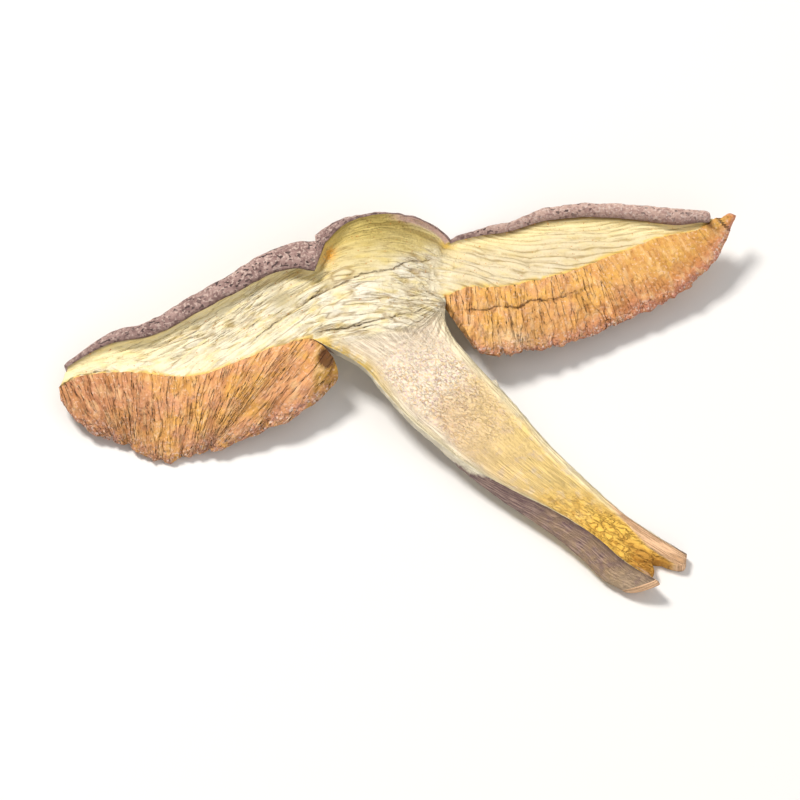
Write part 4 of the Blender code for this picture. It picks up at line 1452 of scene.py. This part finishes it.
def dried_skin():
    """The dried cap and stem skin: mauve brown and leathery, with small dark scales, and painted shade along
    the band's lower edge.
    """
    finish = Finish("dried bolete skin", "#BC9C94", 0.7, 1.45)
    finish.over("#8B6D68", finish.noise(1.6, 0.4, 0.62))
    finish.over("#E6CCC0", finish.noise(0.5, 0.5, 0.64), 0.8)
    finish.over("#F0CCBC", "cord", 0.65)
    finish.over("#9C7672", "cord", finish.noise(0.7, 0.5, 0.58), 0.5)
    finish.over("#FFEAE0", "cord", finish.noise(0.4, 0.54, 0.6), 0.6)
    scaly = finish.times(finish.noise(6, 0.35, 0.55), finish.outside("stem"))
    specks = finish.times(finish.noise((0.8, 0.42), 0.58, 0.62, "Flow", detail=1), scaly)
    finish.over("#33262A", specks, 0.9)
    streaks = finish.noise((3, 0.16), 0.45, 0.56, "Flow")
    finish.over("#6E5256", "stem", 0.85)
    finish.over("#CDAE9E", "stem", streaks, 0.8)
    finish.over("#C0A078", "ochre", finish.noise(1.5, 0.35, 0.6), 0.8)
    finish.over("#D8BC96", "ochre end", finish.noise(1.2, 0.3, 0.5), 0.7)
    # Painted shade: the skin band darkens towards its lower edge, which turns away from the light
    finish.over("#5E4644", finish.math("POWER", "lower edge", 2.5), 0.75)
    # The bare side shows cream flesh, painted paler still to lift the shade on the stem's side
    bare = finish.math("ADD", finish.times("bare", 1.4), "lower edge")
    ragged = finish.math("ADD", bare, finish.times(finish.noise(0.8, 0, 1), 0.5))
    finish.over("#F8EDD2", finish.ranged(ragged, 1.5, 1.75))
    finish.bump(0.14, finish.noise(0.4, 0.3, 0.7))
    finish.bump(-0.1, specks)
    finish.bump(0.15, "stem", streaks)
    return finish.done()


def placed(name, data):
    """An object in the scene with this data."""
    made = bpy.data.objects.new(name, data)
    bpy.context.scene.collection.objects.link(made)
    return made


def add_slice():
    vertices, faces, uv_maps, zones, fields = slice_mesh()
    mesh = bpy.data.meshes.new("bolete_slice_surface")
    mesh.from_pydata(vertices.tolist(), [], faces.tolist())
    for material in (dried_flesh(), dried_tubes(), dried_skin()):
        mesh.materials.append(material)
    mesh.polygons.foreach_set("material_index", zones.astype(np.int32))
    for name, values in uv_maps.items():
        layer = mesh.uv_layers.new(name=name)
        layer.data.foreach_set("uv", values.reshape(-1).astype(np.float32))
    for name, values in fields.items():
        attribute = mesh.attributes.new(name, "FLOAT", "POINT")
        attribute.data.foreach_set("value", values.astype(np.float32))
    mesh.shade_smooth()
    mesh.update()
    surface = placed("bolete_slice_surface", mesh)
    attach(surface, "root")
    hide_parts("bolete_slice")


def add_floor():
    mesh = bpy.data.meshes.new("floor")
    half = FLOOR_SIZE / 2
    square = [(-half, -half, 0), (half, -half, 0), (half, half, 0), (-half, half, 0)]
    mesh.from_pydata(square, [], [(0, 1, 2, 3)])
    material = bpy.data.materials.new("matt white paper")
    material.use_nodes = True
    shader = material.node_tree.nodes["Principled BSDF"]
    shader.inputs["Base Color"].default_value = linear("#ECECEC")
    shader.inputs["Roughness"].default_value = 0.9
    mesh.materials.append(material)
    placed("floor", mesh)


def aimed(name, data, place, target):
    """An object at a place that looks at a target."""
    made = placed(name, data)
    made.location = place
    made.rotation_euler = (Vector(target) - Vector(place)).to_track_quat("-Z", "Y").to_euler()
    return made


def add_lights():
    for name, size, watts, colour, round_deg, up_deg, distance in LIGHTS:
        light = bpy.data.lights.new(name, "AREA")
        light.size = size
        light.energy = watts
        light.color = linear(colour)[:3]
        turn, rise = math.radians(round_deg), math.radians(up_deg)
        level = math.cos(rise)
        place = Vector((math.sin(turn) * level, math.cos(turn) * level, math.sin(rise)))
        aimed(name, light, place * distance, (0, 0, 0))
    world = bpy.data.worlds.new("pale room")
    world.use_nodes = True
    background = world.node_tree.nodes["Background"]
    background.inputs["Color"].default_value = linear("#FFFFFF")
    background.inputs["Strength"].default_value = 0.2
    bpy.context.scene.world = world


def add_camera():
    camera = bpy.data.cameras.new("camera")
    camera.sensor_width = SENSOR_WIDTH
    camera.lens = SENSOR_WIDTH * CAMERA_DISTANCE / FRAME_WIDTH
    away = Vector((0, -math.cos(SEEN_FROM), math.sin(SEEN_FROM))) * CAMERA_DISTANCE
    bpy.context.scene.camera = aimed("camera", camera, Vector(AIM) + away, AIM)


add_slice()
add_floor()
add_lights()
add_camera()
bpy.context.scene.view_settings.view_transform = "Standard"
